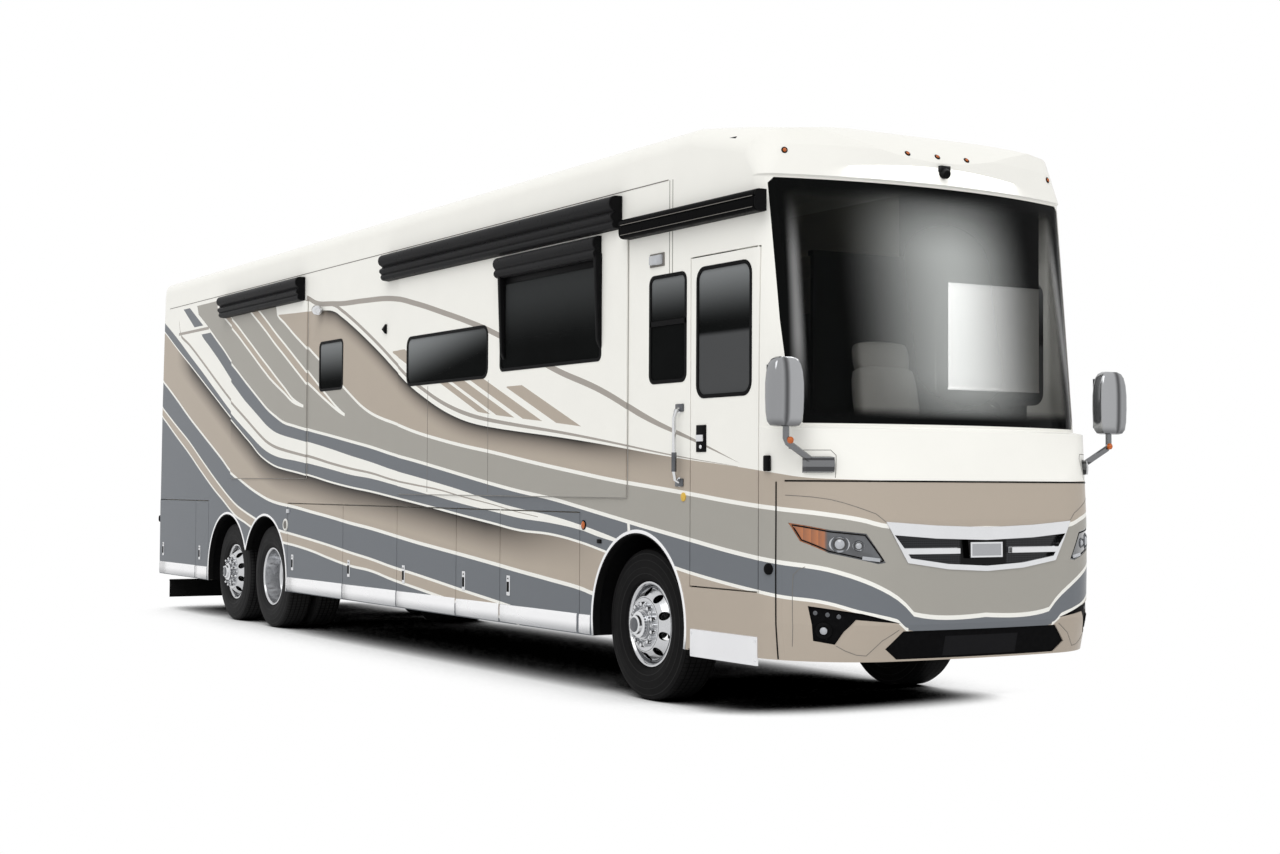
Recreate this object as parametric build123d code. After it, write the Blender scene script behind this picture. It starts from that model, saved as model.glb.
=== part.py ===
"""Tag-axle motorhome coach, built as separate pieces.

Millimetres. X runs across the coach (the entry door is on the -X side), Y runs along it (the nose is
at -Y) and Z is up from the ground. Places along the coach are given as stations: distances back from
the tip of the nose. The origin is on the ground under the middle of the coach.
"""
from build123d import *
import math
import os

os.makedirs("parts", exist_ok=True)

# ---------------------------------------------------------------- overall sizes
FRONT_OVERHANG = 2194.0     # nose to front axle
WHEELBASE = 7661.0          # front axle to drive axle
TAG_SPACING = 1204.0        # drive axle to tag axle
REAR_OVERHANG = 2631.0      # tag axle to tail
LENGTH = FRONT_OVERHANG + WHEELBASE + TAG_SPACING + REAR_OVERHANG
FRONT_AXLE = FRONT_OVERHANG
DRIVE_AXLE = FRONT_AXLE + WHEELBASE
TAG_AXLE = DRIVE_AXLE + TAG_SPACING

BODY_WIDTH = 2568.0
HALF = BODY_WIDTH / 2
WALL = 45.0                 # side walls and roof sides
SHELL = 40.0                # moulded front and rear caps
SEAT_GAP = 0.3              # between pieces that rest on one another
RUN_GAP = 10.0              # round everything that moves

# ---------------------------------------------------------------- heights
SKIRT_Z = 410.0             # bottom of the side panels
BELT_Z = 1310.0             # bottom edge of the upper wall, over the bay doors
FLOOR_Z = 1290.0            # underside of the living floor
FLOOR_THICK = 60.0
FLOOR_TOP = FLOOR_Z + FLOOR_THICK
NOSE_TOP_Z = 1542.0         # seam between the nose and the upper cap
WALL_TOP_Z = 3620.0         # seam between the walls and the roof
ROOF_EDGE_Z = 3795.0        # where the roof's side starts to curve in
ROOF_CROWN_Z = 3960.0
ROOF_SHOULDER_Z = ROOF_CROWN_Z - 35.0     # where what stands on the roof starts, inside its crown
ROOF_EDGE_RADIUS = 130.0
ROOF_THICK = 60.0

# ---------------------------------------------------------------- stations
CAP_BACK = 1525.0           # rear edge of the front cap
NOSE_BACK = 490.0           # seam behind the nose panel
TAIL_CAP = 310.0            # depth of the rear cap
TAIL_START = LENGTH - TAIL_CAP


def y_of(station):
    return station - LENGTH / 2


def block(x0, x1, s0, s1, z0, z1):
    """Box between two X, two stations and two heights."""
    low = (min(x0, x1), y_of(s0), z0)
    return Solid.make_box(abs(x1 - x0), s1 - s0, z1 - z0, Plane(low))


def rod_x(x0, x1, station, z, radius):
    plane = Plane((min(x0, x1), y_of(station), z), x_dir=(0, 1, 0), z_dir=(1, 0, 0))
    return Solid.make_cylinder(radius, abs(x1 - x0), plane)


def rod_z(x, station, z0, z1, radius):
    return Solid.make_cylinder(radius, z1 - z0, Plane((x, y_of(station), z0)))


def rod_between(start, end, radius):
    """Round bar between two points, each (x, station, z)."""
    a = Vector(start[0], y_of(start[1]), start[2])
    b = Vector(end[0], y_of(end[1]), end[2])
    return Solid.make_cylinder(radius, (b - a).length, Plane(a, z_dir=b - a))


def prism_front(points, s0, s1):
    """Prism along Y whose outline is given as (x, z)."""
    wire = Wire.make_polygon([(x, y_of(s0), z) for x, z in points], close=True)
    return Solid.extrude(Face(wire), Vector(0, s1 - s0, 0))


def prism_side(points, x0, x1):
    """Prism along X whose outline is given as (station, z)."""
    wire = Wire.make_polygon([(x0, y_of(s), z) for s, z in points], close=True)
    return Solid.extrude(Face(wire), Vector(x1 - x0, 0, 0))


def rounded_window(x0, x1, s0, s1, z0, z1, radius):
    """Prism through a side wall, with round corners."""
    plain = block(x0, x1, s0, s1, z0, z1)
    return plain.fillet(radius, plain.edges().filter_by(Axis.X))


def mirrored(shape):
    return shape.mirror(Plane.YZ)


def solids_of(*shapes):
    found = []
    for shape in shapes:
        found += shape.solids()
    return found


def save(name, *shapes):
    solids = solids_of(*shapes)
    model = solids[0] if len(solids) == 1 else Compound(children=solids)
    export_step(model, f"parts/{name}.step")


# ================================================================ front and rear forms
# Plan of the front at each height: station at the centre, where the corner starts, bow up to there.
GRILLE_PROUD = 6.0          # the grille's bars stand this far ahead of the nose and are the foremost point
NOSE_KNEE = 680.0
NOSE_BOW = 37.0
NOSE_SECTIONS = [
    # height, centre, knee_x, bow
    (420.0, GRILLE_PROUD + 64.0, NOSE_KNEE, NOSE_BOW),
    (650.0, GRILLE_PROUD + 8.0, NOSE_KNEE, NOSE_BOW),
    (1000.0, GRILLE_PROUD, NOSE_KNEE, NOSE_BOW),
    (1300.0, GRILLE_PROUD + 3.0, NOSE_KNEE, NOSE_BOW),
    (NOSE_TOP_Z, GRILLE_PROUD + 39.0, 730.0, 44.0),
]
COWL_Z = 1885.0
SCREEN_TOP_Z = 3487.0
SCREEN_SECTIONS = [
    (COWL_Z, 192.0, 1050.0, 190.0),
    (SCREEN_TOP_Z, 478.0, 1200.0, 190.0),
]
CAP_SECTIONS = [
    NOSE_SECTIONS[-1],
    (COWL_Z - 17.0, 160.0, 1080.0, 160.0),
    *SCREEN_SECTIONS,
    (SCREEN_TOP_Z + 13.0, 455.0, 1200.0, 195.0),
    (3700.0, 465.0, 1100.0, 190.0),
    (4060.0, 560.0, 1050.0, 200.0),
]


def plan_face(height, centre, knee_x, bow, inset):
    """Closed plan outline: bowed front, two round corners, straight sides."""
    half = HALF - inset
    knee = knee_x - inset
    front = y_of(centre + inset)
    back = y_of(CAP_BACK)
    turn = 2 * math.atan(bow / knee_x)
    radius = (half - knee) / (1 - math.sin(turn))
    side = front + bow + radius * math.cos(turn)
    middle = (turn - math.pi / 2) / 2
    mid_x = half - radius + radius * math.cos(middle)
    mid_y = side + radius * math.sin(middle)
    edges = [
        ThreePointArc((-knee, front + bow), (0, front), (knee, front + bow)),
        ThreePointArc((knee, front + bow), (mid_x, mid_y), (half, side)),
        Line((half, side), (half, back)),
        Line((half, back), (-half, back)),
        Line((-half, back), (-half, side)),
        ThreePointArc((-half, side), (-mid_x, mid_y), (-knee, front + bow)),
    ]
    return Pos(0, 0, height) * make_face(edges)


def front_form(sections, inset, ruled):
    return loft([plan_face(*section, inset) for section in sections], ruled=ruled)


def roof_face(station, edge, radius, crown, inset, drop):
    """Cross-section under the roof: upright sides, round edges, slightly arched crown."""
    half = HALF - inset
    low = edge - drop
    shoulder_x = half - radius
    shoulder = low + radius
    top = crown - drop
    arc_x = half - radius * (1 - math.cos(math.radians(45)))
    arc_z = low + radius * math.sin(math.radians(45))
    outline = [
        Line((-half, 0), (half, 0)),
        Line((half, 0), (half, low)),
        ThreePointArc((half, low), (arc_x, arc_z), (shoulder_x, shoulder)),
        ThreePointArc((shoulder_x, shoulder), (0, top), (-shoulder_x, shoulder)),
        ThreePointArc((-shoulder_x, shoulder), (-arc_x, arc_z), (-half, low)),
        Line((-half, low), (-half, 0)),
    ]
    plane = Plane((0, y_of(station), 0), x_dir=(1, 0, 0), z_dir=(0, -1, 0))
    return plane * make_face(outline)


ROOF_SHAPE = (ROOF_EDGE_Z, ROOF_EDGE_RADIUS, ROOF_CROWN_Z)
CAP_TOP = [
    # station, where the side starts to curve in, edge radius, crown
    (420.0, 3530.0, 235.0, 3850.0),
    (1000.0, 3685.0, 175.0, 3912.0),
    (CAP_BACK, *ROOF_SHAPE),
]


def roof_profile(inset, drop, s0, s1):
    """Solid under the roof's outer (or, with an inset, inner) cross-section."""
    return extrude(roof_face(s0, *ROOF_SHAPE, inset, drop), amount=-(s1 - s0))


def cap_profile(inset, drop):
    """Solid under the top of the front cap, whose edges grow rounder towards the brow."""
    return loft([roof_face(*section, inset, drop) for section in CAP_TOP], ruled=True)


BROW_START = (440.0, 3600.0)
BROW_BEND = (585.0, 3785.0)
BROW_TOP = (950.0, 3882.0)
BROW_RISE = (1230.0, 3935.0)


def brow_profile(inset, drop):
    """Solid under the brow's side outline."""
    start = (y_of(BROW_START[0] + inset), BROW_START[1] - drop)
    bend = (y_of(BROW_BEND[0] + inset), BROW_BEND[1] - drop)
    top = (y_of(BROW_TOP[0] + inset), BROW_TOP[1] - drop)
    rise = (y_of(BROW_RISE[0]), BROW_RISE[1] - drop)
    end = (y_of(CAP_BACK), ROOF_CROWN_Z - drop)
    ahead = y_of(-200)
    outline = [
        Line((ahead, 0), (ahead, start[1])),
        Line((ahead, start[1]), start),
        ThreePointArc(start, bend, top),
        ThreePointArc(top, rise, end),
        Line(end, (end[0], 0)),
        Line((end[0], 0), (ahead, 0)),
    ]
    plane = Plane((-HALF, 0, 0), x_dir=(0, 1, 0), z_dir=(1, 0, 0))
    return extrude(plane * make_face(outline), amount=2 * HALF)


def clip(shape, *tools):
    """Cut each tool out of the shape in turn."""
    for tool in tools:
        shape = shape - tool
    return shape


nose_outer = front_form(NOSE_SECTIONS, 0.0, True)
nose_shell = nose_outer - front_form(NOSE_SECTIONS, SHELL, True)
ahead_of_top = prism_side([(-200, 0), (-200, BROW_START[1]), (CAP_TOP[0][0], BROW_START[1]), (CAP_TOP[0][0], 0)],
                          -HALF, HALF)
cap_outer = front_form(CAP_SECTIONS, 0.0, True) & brow_profile(0.0, 0.0)
cap_outer = cap_outer & (cap_profile(0.0, 0.0) + ahead_of_top)
cap_inner = front_form(CAP_SECTIONS, SHELL, True) & brow_profile(SHELL, ROOF_THICK)
cap_inner = cap_inner & (cap_profile(SHELL, ROOF_THICK) + ahead_of_top)
cap_shell = cap_outer - cap_inner

# Rear cap plan at each height: station of the tail, corner radius.
TAIL_SECTIONS = [
    # height, forward of the tail, corner radius
    (SKIRT_Z, 15.0, 90.0),
    (900.0, 0.0, 110.0),
    (2400.0, 30.0, 120.0),
    (3740.0, 105.0, 120.0),
    (3930.0, 180.0, 120.0),
    (4060.0, 300.0 - 20.0, 120.0),
]


def tail_face(height, forward, radius, inset):
    half = HALF - inset
    tail = y_of(LENGTH - forward - inset)
    start = y_of(TAIL_START)
    round_in = min(radius, tail - start - 1.0)
    cut = round_in * (1 - math.cos(math.radians(45)))
    edges = [
        Line((-half, start), (half, start)),
        Line((half, start), (half, tail - round_in)),
        ThreePointArc((half, tail - round_in), (half - cut, tail - cut), (half - round_in, tail)),
        Line((half - round_in, tail), (-half + round_in, tail)),
        ThreePointArc((-half + round_in, tail), (-half + cut, tail - cut), (-half, tail - round_in)),
        Line((-half, tail - round_in), (-half, start)),
    ]
    return Pos(0, 0, height) * make_face(edges)


def tail_form(inset):
    return loft([tail_face(*section, inset) for section in TAIL_SECTIONS], ruled=True)


tail_outer = tail_form(0.0) & roof_profile(0.0, 0.0, TAIL_START, LENGTH)
tail_inner = tail_form(SHELL) & roof_profile(SHELL, ROOF_THICK, TAIL_START, LENGTH)
tail_shell = tail_outer - tail_inner

# ================================================================ entry door and its frame
DOOR_FRONT = 700.0
DOOR_REAR = 1500.0
DOOR_BOTTOM = 840.0
DOOR_TOP = 3030.0
HINGE_INSET = 10.0          # hinge line in from the panel's corner
DOOR_HINGE_IN = 14.0        # the entry door's hinge line in from its face
DOOR_HINGE_BACK = 20.0      # and back from its front edge
PIN_RADIUS = 5.0
PIN_REACH = 18.0            # how far a hinge pin goes into its socket
PIN_CLEAR = 0.3
DOOR_WINDOW = (DOOR_FRONT + 77.0, DOOR_REAR - 70.0, DOOR_TOP - 940.0, DOOR_TOP - 70.0)
DOOR_WINDOW_RADIUS = 90.0
GLASS = 6.0
GLASS_INSET = 5.0           # glass back from the face around it

doorway = block(-HALF - 60, -HALF + 200, DOOR_FRONT - RUN_GAP, DOOR_REAR + RUN_GAP, DOOR_BOTTOM - RUN_GAP,
                DOOR_TOP + RUN_GAP)
door_space = block(-HALF - 60, -HALF + SHELL, DOOR_FRONT, DOOR_REAR, DOOR_BOTTOM, DOOR_TOP)
before_sides = block(-HALF - 50, HALF + 50, -100, NOSE_BACK + SEAT_GAP, SKIRT_Z - 50, NOSE_TOP_Z)
side_shell = (nose_shell - before_sides) + cap_shell


def hinge_pin(side, station, z0, z1, radius, inset=HINGE_INSET):
    return rod_z(side * (HALF - inset), station, z0, z1, radius)


DOOR_HINGE = DOOR_FRONT + DOOR_HINGE_BACK
pin_top = DOOR_TOP + RUN_GAP + PIN_REACH
pin_bottom = DOOR_BOTTOM - RUN_GAP - PIN_REACH
door_pins = [
    hinge_pin(-1, DOOR_HINGE, DOOR_TOP - 5, pin_top, PIN_RADIUS, DOOR_HINGE_IN),
    hinge_pin(-1, DOOR_HINGE, pin_bottom, DOOR_BOTTOM + 5, PIN_RADIUS, DOOR_HINGE_IN),
]
door_sockets = [
    hinge_pin(-1, DOOR_HINGE, DOOR_TOP, pin_top + PIN_CLEAR, PIN_RADIUS + PIN_CLEAR, DOOR_HINGE_IN),
    hinge_pin(-1, DOOR_HINGE, pin_bottom - PIN_CLEAR, DOOR_BOTTOM, PIN_RADIUS + PIN_CLEAR, DOOR_HINGE_IN),
]
w0, w1, w2, w3 = DOOR_WINDOW
door_light = rounded_window(-HALF - 60, -HALF + 200, w0, w1, w2, w3, DOOR_WINDOW_RADIUS)
entry_door = (side_shell & door_space) - door_light
entry_door = entry_door + door_pins[0] + door_pins[1]
save("entry_door", entry_door)


def pane(side, s0, s1, z0, z1, radius, face=HALF):
    """Window glass set into a side opening of the same outline."""
    outer = face - GLASS_INSET
    return rounded_window(side * outer, side * (outer - GLASS), s0 + SEAT_GAP, s1 - SEAT_GAP, z0 + SEAT_GAP,
                          z1 - SEAT_GAP, radius)


save("entry_door_glass", pane(-1, *DOOR_WINDOW, DOOR_WINDOW_RADIUS))

# ================================================================ windshield, nose openings
SCREEN_OUTLINE = [(-1130.0, 1903.0), (1130.0, 1903.0), (1180.0, 1960.0), (1212.0, 2554.0), (1232.0, 3440.0),
                  (1195.0, 3478.0), (-1195.0, 3478.0), (-1232.0, 3440.0), (-1212.0, 2554.0), (-1180.0, 1960.0)]
SCREEN_BACK = 900.0
SCREEN_GLASS = 8.0
SCREEN_INSET = 5.0


def shrunk(points, amount):
    """Outline with every edge moved inward by the same distance."""
    twice_area = 0.0
    for i, (x, z) in enumerate(points):
        twice_area += points[i - 1][0] * z - x * points[i - 1][1]
    turn = math.copysign(1.0, twice_area)
    moved = []
    for i, (x, z) in enumerate(points):
        x_in, z_in = x - points[i - 1][0], z - points[i - 1][1]
        x_out, z_out = points[(i + 1) % len(points)][0] - x, points[(i + 1) % len(points)][1] - z
        run_in, run_out = math.hypot(x_in, z_in), math.hypot(x_out, z_out)
        normal_in = (-turn * z_in / run_in, turn * x_in / run_in)
        normal_out = (-turn * z_out / run_out, turn * x_out / run_out)
        share = amount / (1.0 + normal_in[0] * normal_out[0] + normal_in[1] * normal_out[1])
        moved.append((x + share * (normal_in[0] + normal_out[0]), z + share * (normal_in[1] + normal_out[1])))
    return moved


screen_hole = prism_front(SCREEN_OUTLINE, -100, SCREEN_BACK)
glass_layer = front_form(SCREEN_SECTIONS, SCREEN_INSET, True)
glass_layer = glass_layer - front_form(SCREEN_SECTIONS, SCREEN_INSET + SCREEN_GLASS, True)
windshield = glass_layer & prism_front(shrunk(SCREEN_OUTLINE, SEAT_GAP), -100, SCREEN_BACK - 5)
save("windshield", windshield)

DRIVER_WINDOW = (830.0, 1440.0, DOOR_TOP - 940.0, DOOR_TOP - 70.0)
d0, d1, d2, d3 = DRIVER_WINDOW
driver_light = rounded_window(HALF - 200, HALF + 60, d0, d1, d2, d3, DOOR_WINDOW_RADIUS)

HEADLAMP_OUTLINE = [(764.0, 1036.0), (812.0, 1028.0), (1075.0, 1094.0), (1190.0, 1165.0), (1228.0, 1280.0),
                    (1070.0, 1238.0), (882.0, 1216.0)]
GRILLE_OUTLINE = [(-764.0, 1290.0), (-400.0, 1266.0), (0.0, 1253.0), (400.0, 1266.0), (764.0, 1290.0),
                  (690.0, 1160.0), (612.0, 1033.0), (310.0, 990.0), (0.0, 974.0), (-310.0, 990.0),
                  (-612.0, 1033.0), (-690.0, 1160.0)]
GRILLE_MOUTH = [(-708.0, 1207.0), (-400.0, 1184.0), (0.0, 1172.0), (400.0, 1184.0), (708.0, 1207.0),
                (650.0, 1138.0), (590.0, 1062.0), (310.0, 1024.0), (0.0, 1008.0), (-310.0, 1024.0),
                (-590.0, 1062.0), (-650.0, 1138.0)]
INTAKE_OUTLINE = [(-740.0, 500.0), (-630.0, 610.0), (630.0, 610.0), (740.0, 500.0), (650.0, 432.0),
                  (-650.0, 432.0)]
FOG_OUTLINE = [(650.0, 658.0), (932.0, 684.0), (989.0, 610.0), (1024.0, 528.0), (1129.0, 550.0),
               (1160.0, 766.0), (900.0, 722.0)]


def flipped(points):
    return [(-x, z) for x, z in points]


def nose_hole(points):
    return prism_front(points, -100, NOSE_BACK - 20)


def nose_layer(outer_inset, inner_inset):
    return front_form(NOSE_SECTIONS, outer_inset, True) - front_form(NOSE_SECTIONS, inner_inset, True)


LAMP_THICK = 30.0
lamp_layer = nose_layer(3.0, 3.0 + LAMP_THICK)
headlamp = lamp_layer & nose_hole(shrunk(HEADLAMP_OUTLINE, SEAT_GAP))
save("headlamps", headlamp, mirrored(headlamp))

GRILLE_BACK = 32.0
back_layer = nose_layer(GRILLE_BACK - 6.0, GRILLE_BACK)
bar_layer = nose_layer(-GRILLE_PROUD, GRILLE_BACK - 4.0)
grille_hole = nose_hole(shrunk(GRILLE_OUTLINE, SEAT_GAP))
grille_parts = (bar_layer & grille_hole) - nose_hole(GRILLE_MOUTH)
grille_parts = grille_parts + (back_layer & grille_hole)
GRILLE_BAR = [(215.0, 1088.0), (690.0, 1088.0), (690.0, 1122.0), (215.0, 1122.0)]
bar_zone = bar_layer & nose_hole(shrunk(GRILLE_OUTLINE, 20.0))
grille_parts = grille_parts + (bar_zone & nose_hole(GRILLE_BAR)) + (bar_zone & nose_hole(flipped(GRILLE_BAR)))
BADGE_PLATE = [(-140.0, 1056.0), (140.0, 1056.0), (155.0, 1180.0), (-155.0, 1180.0)]
grille_parts = grille_parts + (bar_layer & nose_hole(BADGE_PLATE))
save("grille", grille_parts)

insert_layer = nose_layer(8.0, SHELL - 4.0)
fog = insert_layer & nose_hole(shrunk(FOG_OUTLINE, SEAT_GAP))
save("lower_inserts", insert_layer & nose_hole(shrunk(INTAKE_OUTLINE, SEAT_GAP)), fog, mirrored(fog))

behind_nose = block(-HALF - 50, HALF + 50, NOSE_BACK, CAP_BACK + 50, SKIRT_Z - 50, NOSE_TOP_Z + 50)
above_nose = block(-HALF - 50, HALF + 50, -100, CAP_BACK + 50, NOSE_TOP_Z - SEAT_GAP, NOSE_TOP_Z + 50)
nose = clip(nose_shell, behind_nose, above_nose)
nose = clip(nose, nose_hole(HEADLAMP_OUTLINE), nose_hole(flipped(HEADLAMP_OUTLINE)), nose_hole(GRILLE_OUTLINE),
            nose_hole(INTAKE_OUTLINE), nose_hole(FOG_OUTLINE), nose_hole(flipped(FOG_OUTLINE)))
save("nose", nose)

front_cap = clip(side_shell, doorway, screen_hole, driver_light, *door_sockets)
save("front_cap", front_cap)

# ================================================================ wheel places, arches, bay rows
TYRE_RADIUS = 533.0
AXLE_Z = TYRE_RADIUS        # tyres stand on the ground
FRONT_ARCH = 638.0          # arch radius over the steered wheels
REAR_ARCH = 660.0
FRONT_ARCH_Z = 545.0
REAR_ARCH_Z = 515.0
BAY_BOTTOM = SKIRT_Z
BAY_TOP = BELT_Z - RUN_GAP
BAY_DOOR_THICK = 40.0
BAY_START = FRONT_AXLE + 836.0
BAY_END = DRIVE_AXLE - REAR_ARCH - 15.0
REAR_BAY_START = TAG_AXLE + REAR_ARCH + 15.0
REAR_BAY_SPLIT = REAR_BAY_START + 461.0
REAR_BAY_END = LENGTH - 90.0
RIGHT_BAY_WIDTHS = [1315.0, 820.0, 1235.0, 1280.0]   # the last mid bay takes what is left
LEFT_BAY_WIDTHS = [2135.0, 2515.0]


def bay_edges(widths):
    edges = [BAY_START]
    for width in widths:
        edges.append(edges[-1] + width)
    return edges + [BAY_END]


def arch_tool(station, centre_z, radius, side):
    """Wheel opening: round top, straight sides below the centre."""
    inner = side * (HALF - WALL - 60)
    outer = side * (HALF + 60)
    return rod_x(inner, outer, station, centre_z, radius) + block(inner, outer, station - radius, station + radius,
                                                                  SKIRT_Z - 50, centre_z)


# ================================================================ side walls
RIGHT_SIDE = -1
LEFT_SIDE = 1
SLIDE_FLANGE = 10.0
SLIDE_FACE = HALF + 5.0 + SLIDE_FLANGE      # flange stands 5 mm off the wall
FLANGE_LAP = 30.0                           # flange over the wall opening's edge
ROOM_WALL = 40.0

# side, first and last station, bottom, top, depth into the coach, travel outwards
SLIDES = {
    "front_slide": (RIGHT_SIDE, 2335.0, 6370.0, 1420.0, 3335.0, 940.0, 860.0),
    "rear_slide": (RIGHT_SIDE, DRIVE_AXLE - 1205.0, DRIVE_AXLE + 1095.0, 1560.0, 3335.0, 700.0, 610.0),
    "left_slide": (LEFT_SIDE, 2335.0, 8200.0, 1420.0, 3335.0, 940.0, 860.0),
}


def slide_opening(slide):
    side, s0, s1, z0, z1, depth, travel = SLIDES[slide]
    return block(side * (HALF + 60), side * (HALF - WALL - 60), s0 + FLANGE_LAP, s1 - FLANGE_LAP, z0 + FLANGE_LAP,
                 z1 - FLANGE_LAP)


# name: side, first and last station, bottom, top, corner radius
WALL_WINDOWS = {
    "front": (RIGHT_SIDE, 1560.0, 2043.0, 2210.0, 2955.0, 60.0),
    "hall": (RIGHT_SIDE, 7720.0, 8335.0, 2410.0, 2890.0, 60.0),
    "driver_rear": (LEFT_SIDE, 1560.0, 2043.0, 2210.0, 2955.0, 60.0),
    "bedroom": (LEFT_SIDE, DRIVE_AXLE - 455.0, DRIVE_AXLE + 345.0, 2370.0, 2890.0, 60.0),
}


def side_wall(side, widths, slides):
    """Upper wall and the panels round the wheels, one skin with its openings cut."""
    outer = side * HALF
    inner = side * (HALF - WALL)
    wall = block(outer, inner, CAP_BACK, TAIL_START, BELT_Z, WALL_TOP_Z)
    wall = wall + block(outer, inner, CAP_BACK, BAY_START - RUN_GAP / 2, SKIRT_Z, BELT_Z)
    wall = wall + block(outer, inner, BAY_END + RUN_GAP / 2, REAR_BAY_START - RUN_GAP / 2, SKIRT_Z, BELT_Z)
    wall = wall - arch_tool(FRONT_AXLE, FRONT_ARCH_Z, FRONT_ARCH, side)
    for station in (DRIVE_AXLE, TAG_AXLE):
        wall = wall - arch_tool(station, REAR_ARCH_Z, REAR_ARCH, side)
    for slide in slides:
        wall = wall - slide_opening(slide)
    for place, s0, s1, z0, z1, radius in WALL_WINDOWS.values():
        if place == side:
            wall = wall - rounded_window(outer, inner, s0, s1, z0, z1, radius)
    hinge_top = BELT_Z + PIN_REACH + PIN_CLEAR
    for edge in bay_edges(widths)[:-1] + [REAR_BAY_START]:
        wall = wall - hinge_pin(side, edge + RUN_GAP / 2 + HINGE_INSET, BELT_Z - 1, hinge_top, PIN_RADIUS + PIN_CLEAR)
    return wall


rear_split_socket = hinge_pin(RIGHT_SIDE, REAR_BAY_SPLIT + RUN_GAP / 2 + HINGE_INSET, BELT_Z - 1,
                              BELT_Z + PIN_REACH + PIN_CLEAR, PIN_RADIUS + PIN_CLEAR)
save("wall_right", side_wall(RIGHT_SIDE, RIGHT_BAY_WIDTHS, ["front_slide", "rear_slide"]) - rear_split_socket)
save("wall_left", side_wall(LEFT_SIDE, LEFT_BAY_WIDTHS, ["left_slide"]))
wall_panes = [pane(*window) for window in WALL_WINDOWS.values()]
driver_pane = pane(LEFT_SIDE, *DRIVER_WINDOW, DOOR_WINDOW_RADIUS)
save("side_glass", driver_pane, *wall_panes)


def bay_door(side, s0, s1):
    """Bay door between two edges, with the hinge pin that carries it."""
    panel = block(side * HALF, side * (HALF - BAY_DOOR_THICK), s0 + RUN_GAP / 2, s1 - RUN_GAP / 2, BAY_BOTTOM, BAY_TOP)
    pin = hinge_pin(side, s0 + RUN_GAP / 2 + HINGE_INSET, BAY_TOP - 5, BELT_Z + PIN_REACH, PIN_RADIUS)
    return panel + pin


right_edges = bay_edges(RIGHT_BAY_WIDTHS)
left_edges = bay_edges(LEFT_BAY_WIDTHS)
for number, (s0, s1) in enumerate(zip(right_edges, right_edges[1:]), 1):
    save(f"bay_door_right_{number}", bay_door(RIGHT_SIDE, s0, s1))
for number, (s0, s1) in enumerate(zip(left_edges, left_edges[1:]), 1):
    save(f"bay_door_left_{number}", bay_door(LEFT_SIDE, s0, s1))
save("battery_door", bay_door(RIGHT_SIDE, REAR_BAY_START, REAR_BAY_SPLIT))
save("rear_bay_door_right", bay_door(RIGHT_SIDE, REAR_BAY_SPLIT, REAR_BAY_END))
save("rear_bay_door_left", bay_door(LEFT_SIDE, REAR_BAY_START, REAR_BAY_END))

# ================================================================ roof
roof = roof_profile(0.0, 0.0, CAP_BACK, TAIL_START) - roof_profile(WALL, ROOF_THICK, CAP_BACK - 1, TAIL_START + 1)
roof = roof & block(-HALF, HALF, CAP_BACK, TAIL_START, WALL_TOP_Z, ROOF_CROWN_Z + 10)
save("roof_shell", roof)

UNIT_RISE = 140.0           # of the air conditioners and the dome over the crown
UNIT_TOP = ROOF_CROWN_Z + UNIT_RISE
AIR_UNITS = [2900.0, 6600.0, 11300.0]       # stations of the three air conditioners
AIR_UNIT_LENGTH = 1080.0
AIR_UNIT_WIDTH = 720.0
ROOF_VENTS = [(520.0, 4700.0), (-520.0, 9000.0)]
VENT_SIZE = 380.0
VENT_RISE = 100.0
VENT_TOP = ROOF_CROWN_Z + VENT_RISE
DOME_STATION = 8300.0
DOME_RADIUS = 270.0
roof_units = []
for station in AIR_UNITS:
    unit = block(-AIR_UNIT_WIDTH / 2, AIR_UNIT_WIDTH / 2, station - AIR_UNIT_LENGTH / 2, station + AIR_UNIT_LENGTH / 2,
                 ROOF_SHOULDER_Z, UNIT_TOP)
    unit = unit.chamfer(70, 70, unit.edges().group_by(Axis.Z)[-1])
    roof_units.append(unit - roof)
for x, station in ROOF_VENTS:
    vent = block(x - VENT_SIZE / 2, x + VENT_SIZE / 2, station - VENT_SIZE / 2, station + VENT_SIZE / 2,
                 ROOF_SHOULDER_Z, VENT_TOP)
    roof_units.append(vent - roof)
dome = rod_z(0, DOME_STATION, ROOF_SHOULDER_Z, UNIT_TOP, DOME_RADIUS)
dome = dome.fillet(60, dome.edges().group_by(Axis.Z)[-1])
roof_units.append(dome - roof)
save("roof_units", *roof_units)

# ================================================================ rear cap, engine door, lamps
ENGINE_DOOR_HALF = 560.0
ENGINE_DOOR_BOTTOM = 620.0
ENGINE_DOOR_TOP = 1500.0
RECEIVER_NOTCH = 90.0
engine_space = block(-ENGINE_DOOR_HALF, ENGINE_DOOR_HALF, LENGTH - 150, LENGTH + 50, ENGINE_DOOR_BOTTOM,
                     ENGINE_DOOR_TOP)
engine_hole = block(-ENGINE_DOOR_HALF - RUN_GAP, ENGINE_DOOR_HALF + RUN_GAP, LENGTH - 150, LENGTH + 50,
                    ENGINE_DOOR_BOTTOM - RUN_GAP, ENGINE_DOOR_TOP + RUN_GAP)
ENGINE_HINGE_S = LENGTH - 24.0
ENGINE_HINGE_Z = ENGINE_DOOR_TOP - HINGE_INSET
pin_end = ENGINE_DOOR_HALF + RUN_GAP + PIN_REACH
engine_pins = rod_x(-pin_end, pin_end, ENGINE_HINGE_S, ENGINE_HINGE_Z, PIN_RADIUS)
engine_sockets = rod_x(-pin_end - PIN_CLEAR, pin_end + PIN_CLEAR, ENGINE_HINGE_S, ENGINE_HINGE_Z,
                       PIN_RADIUS + PIN_CLEAR)
engine_door = (tail_shell & engine_space) + engine_pins
save("engine_door", engine_door)

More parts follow.
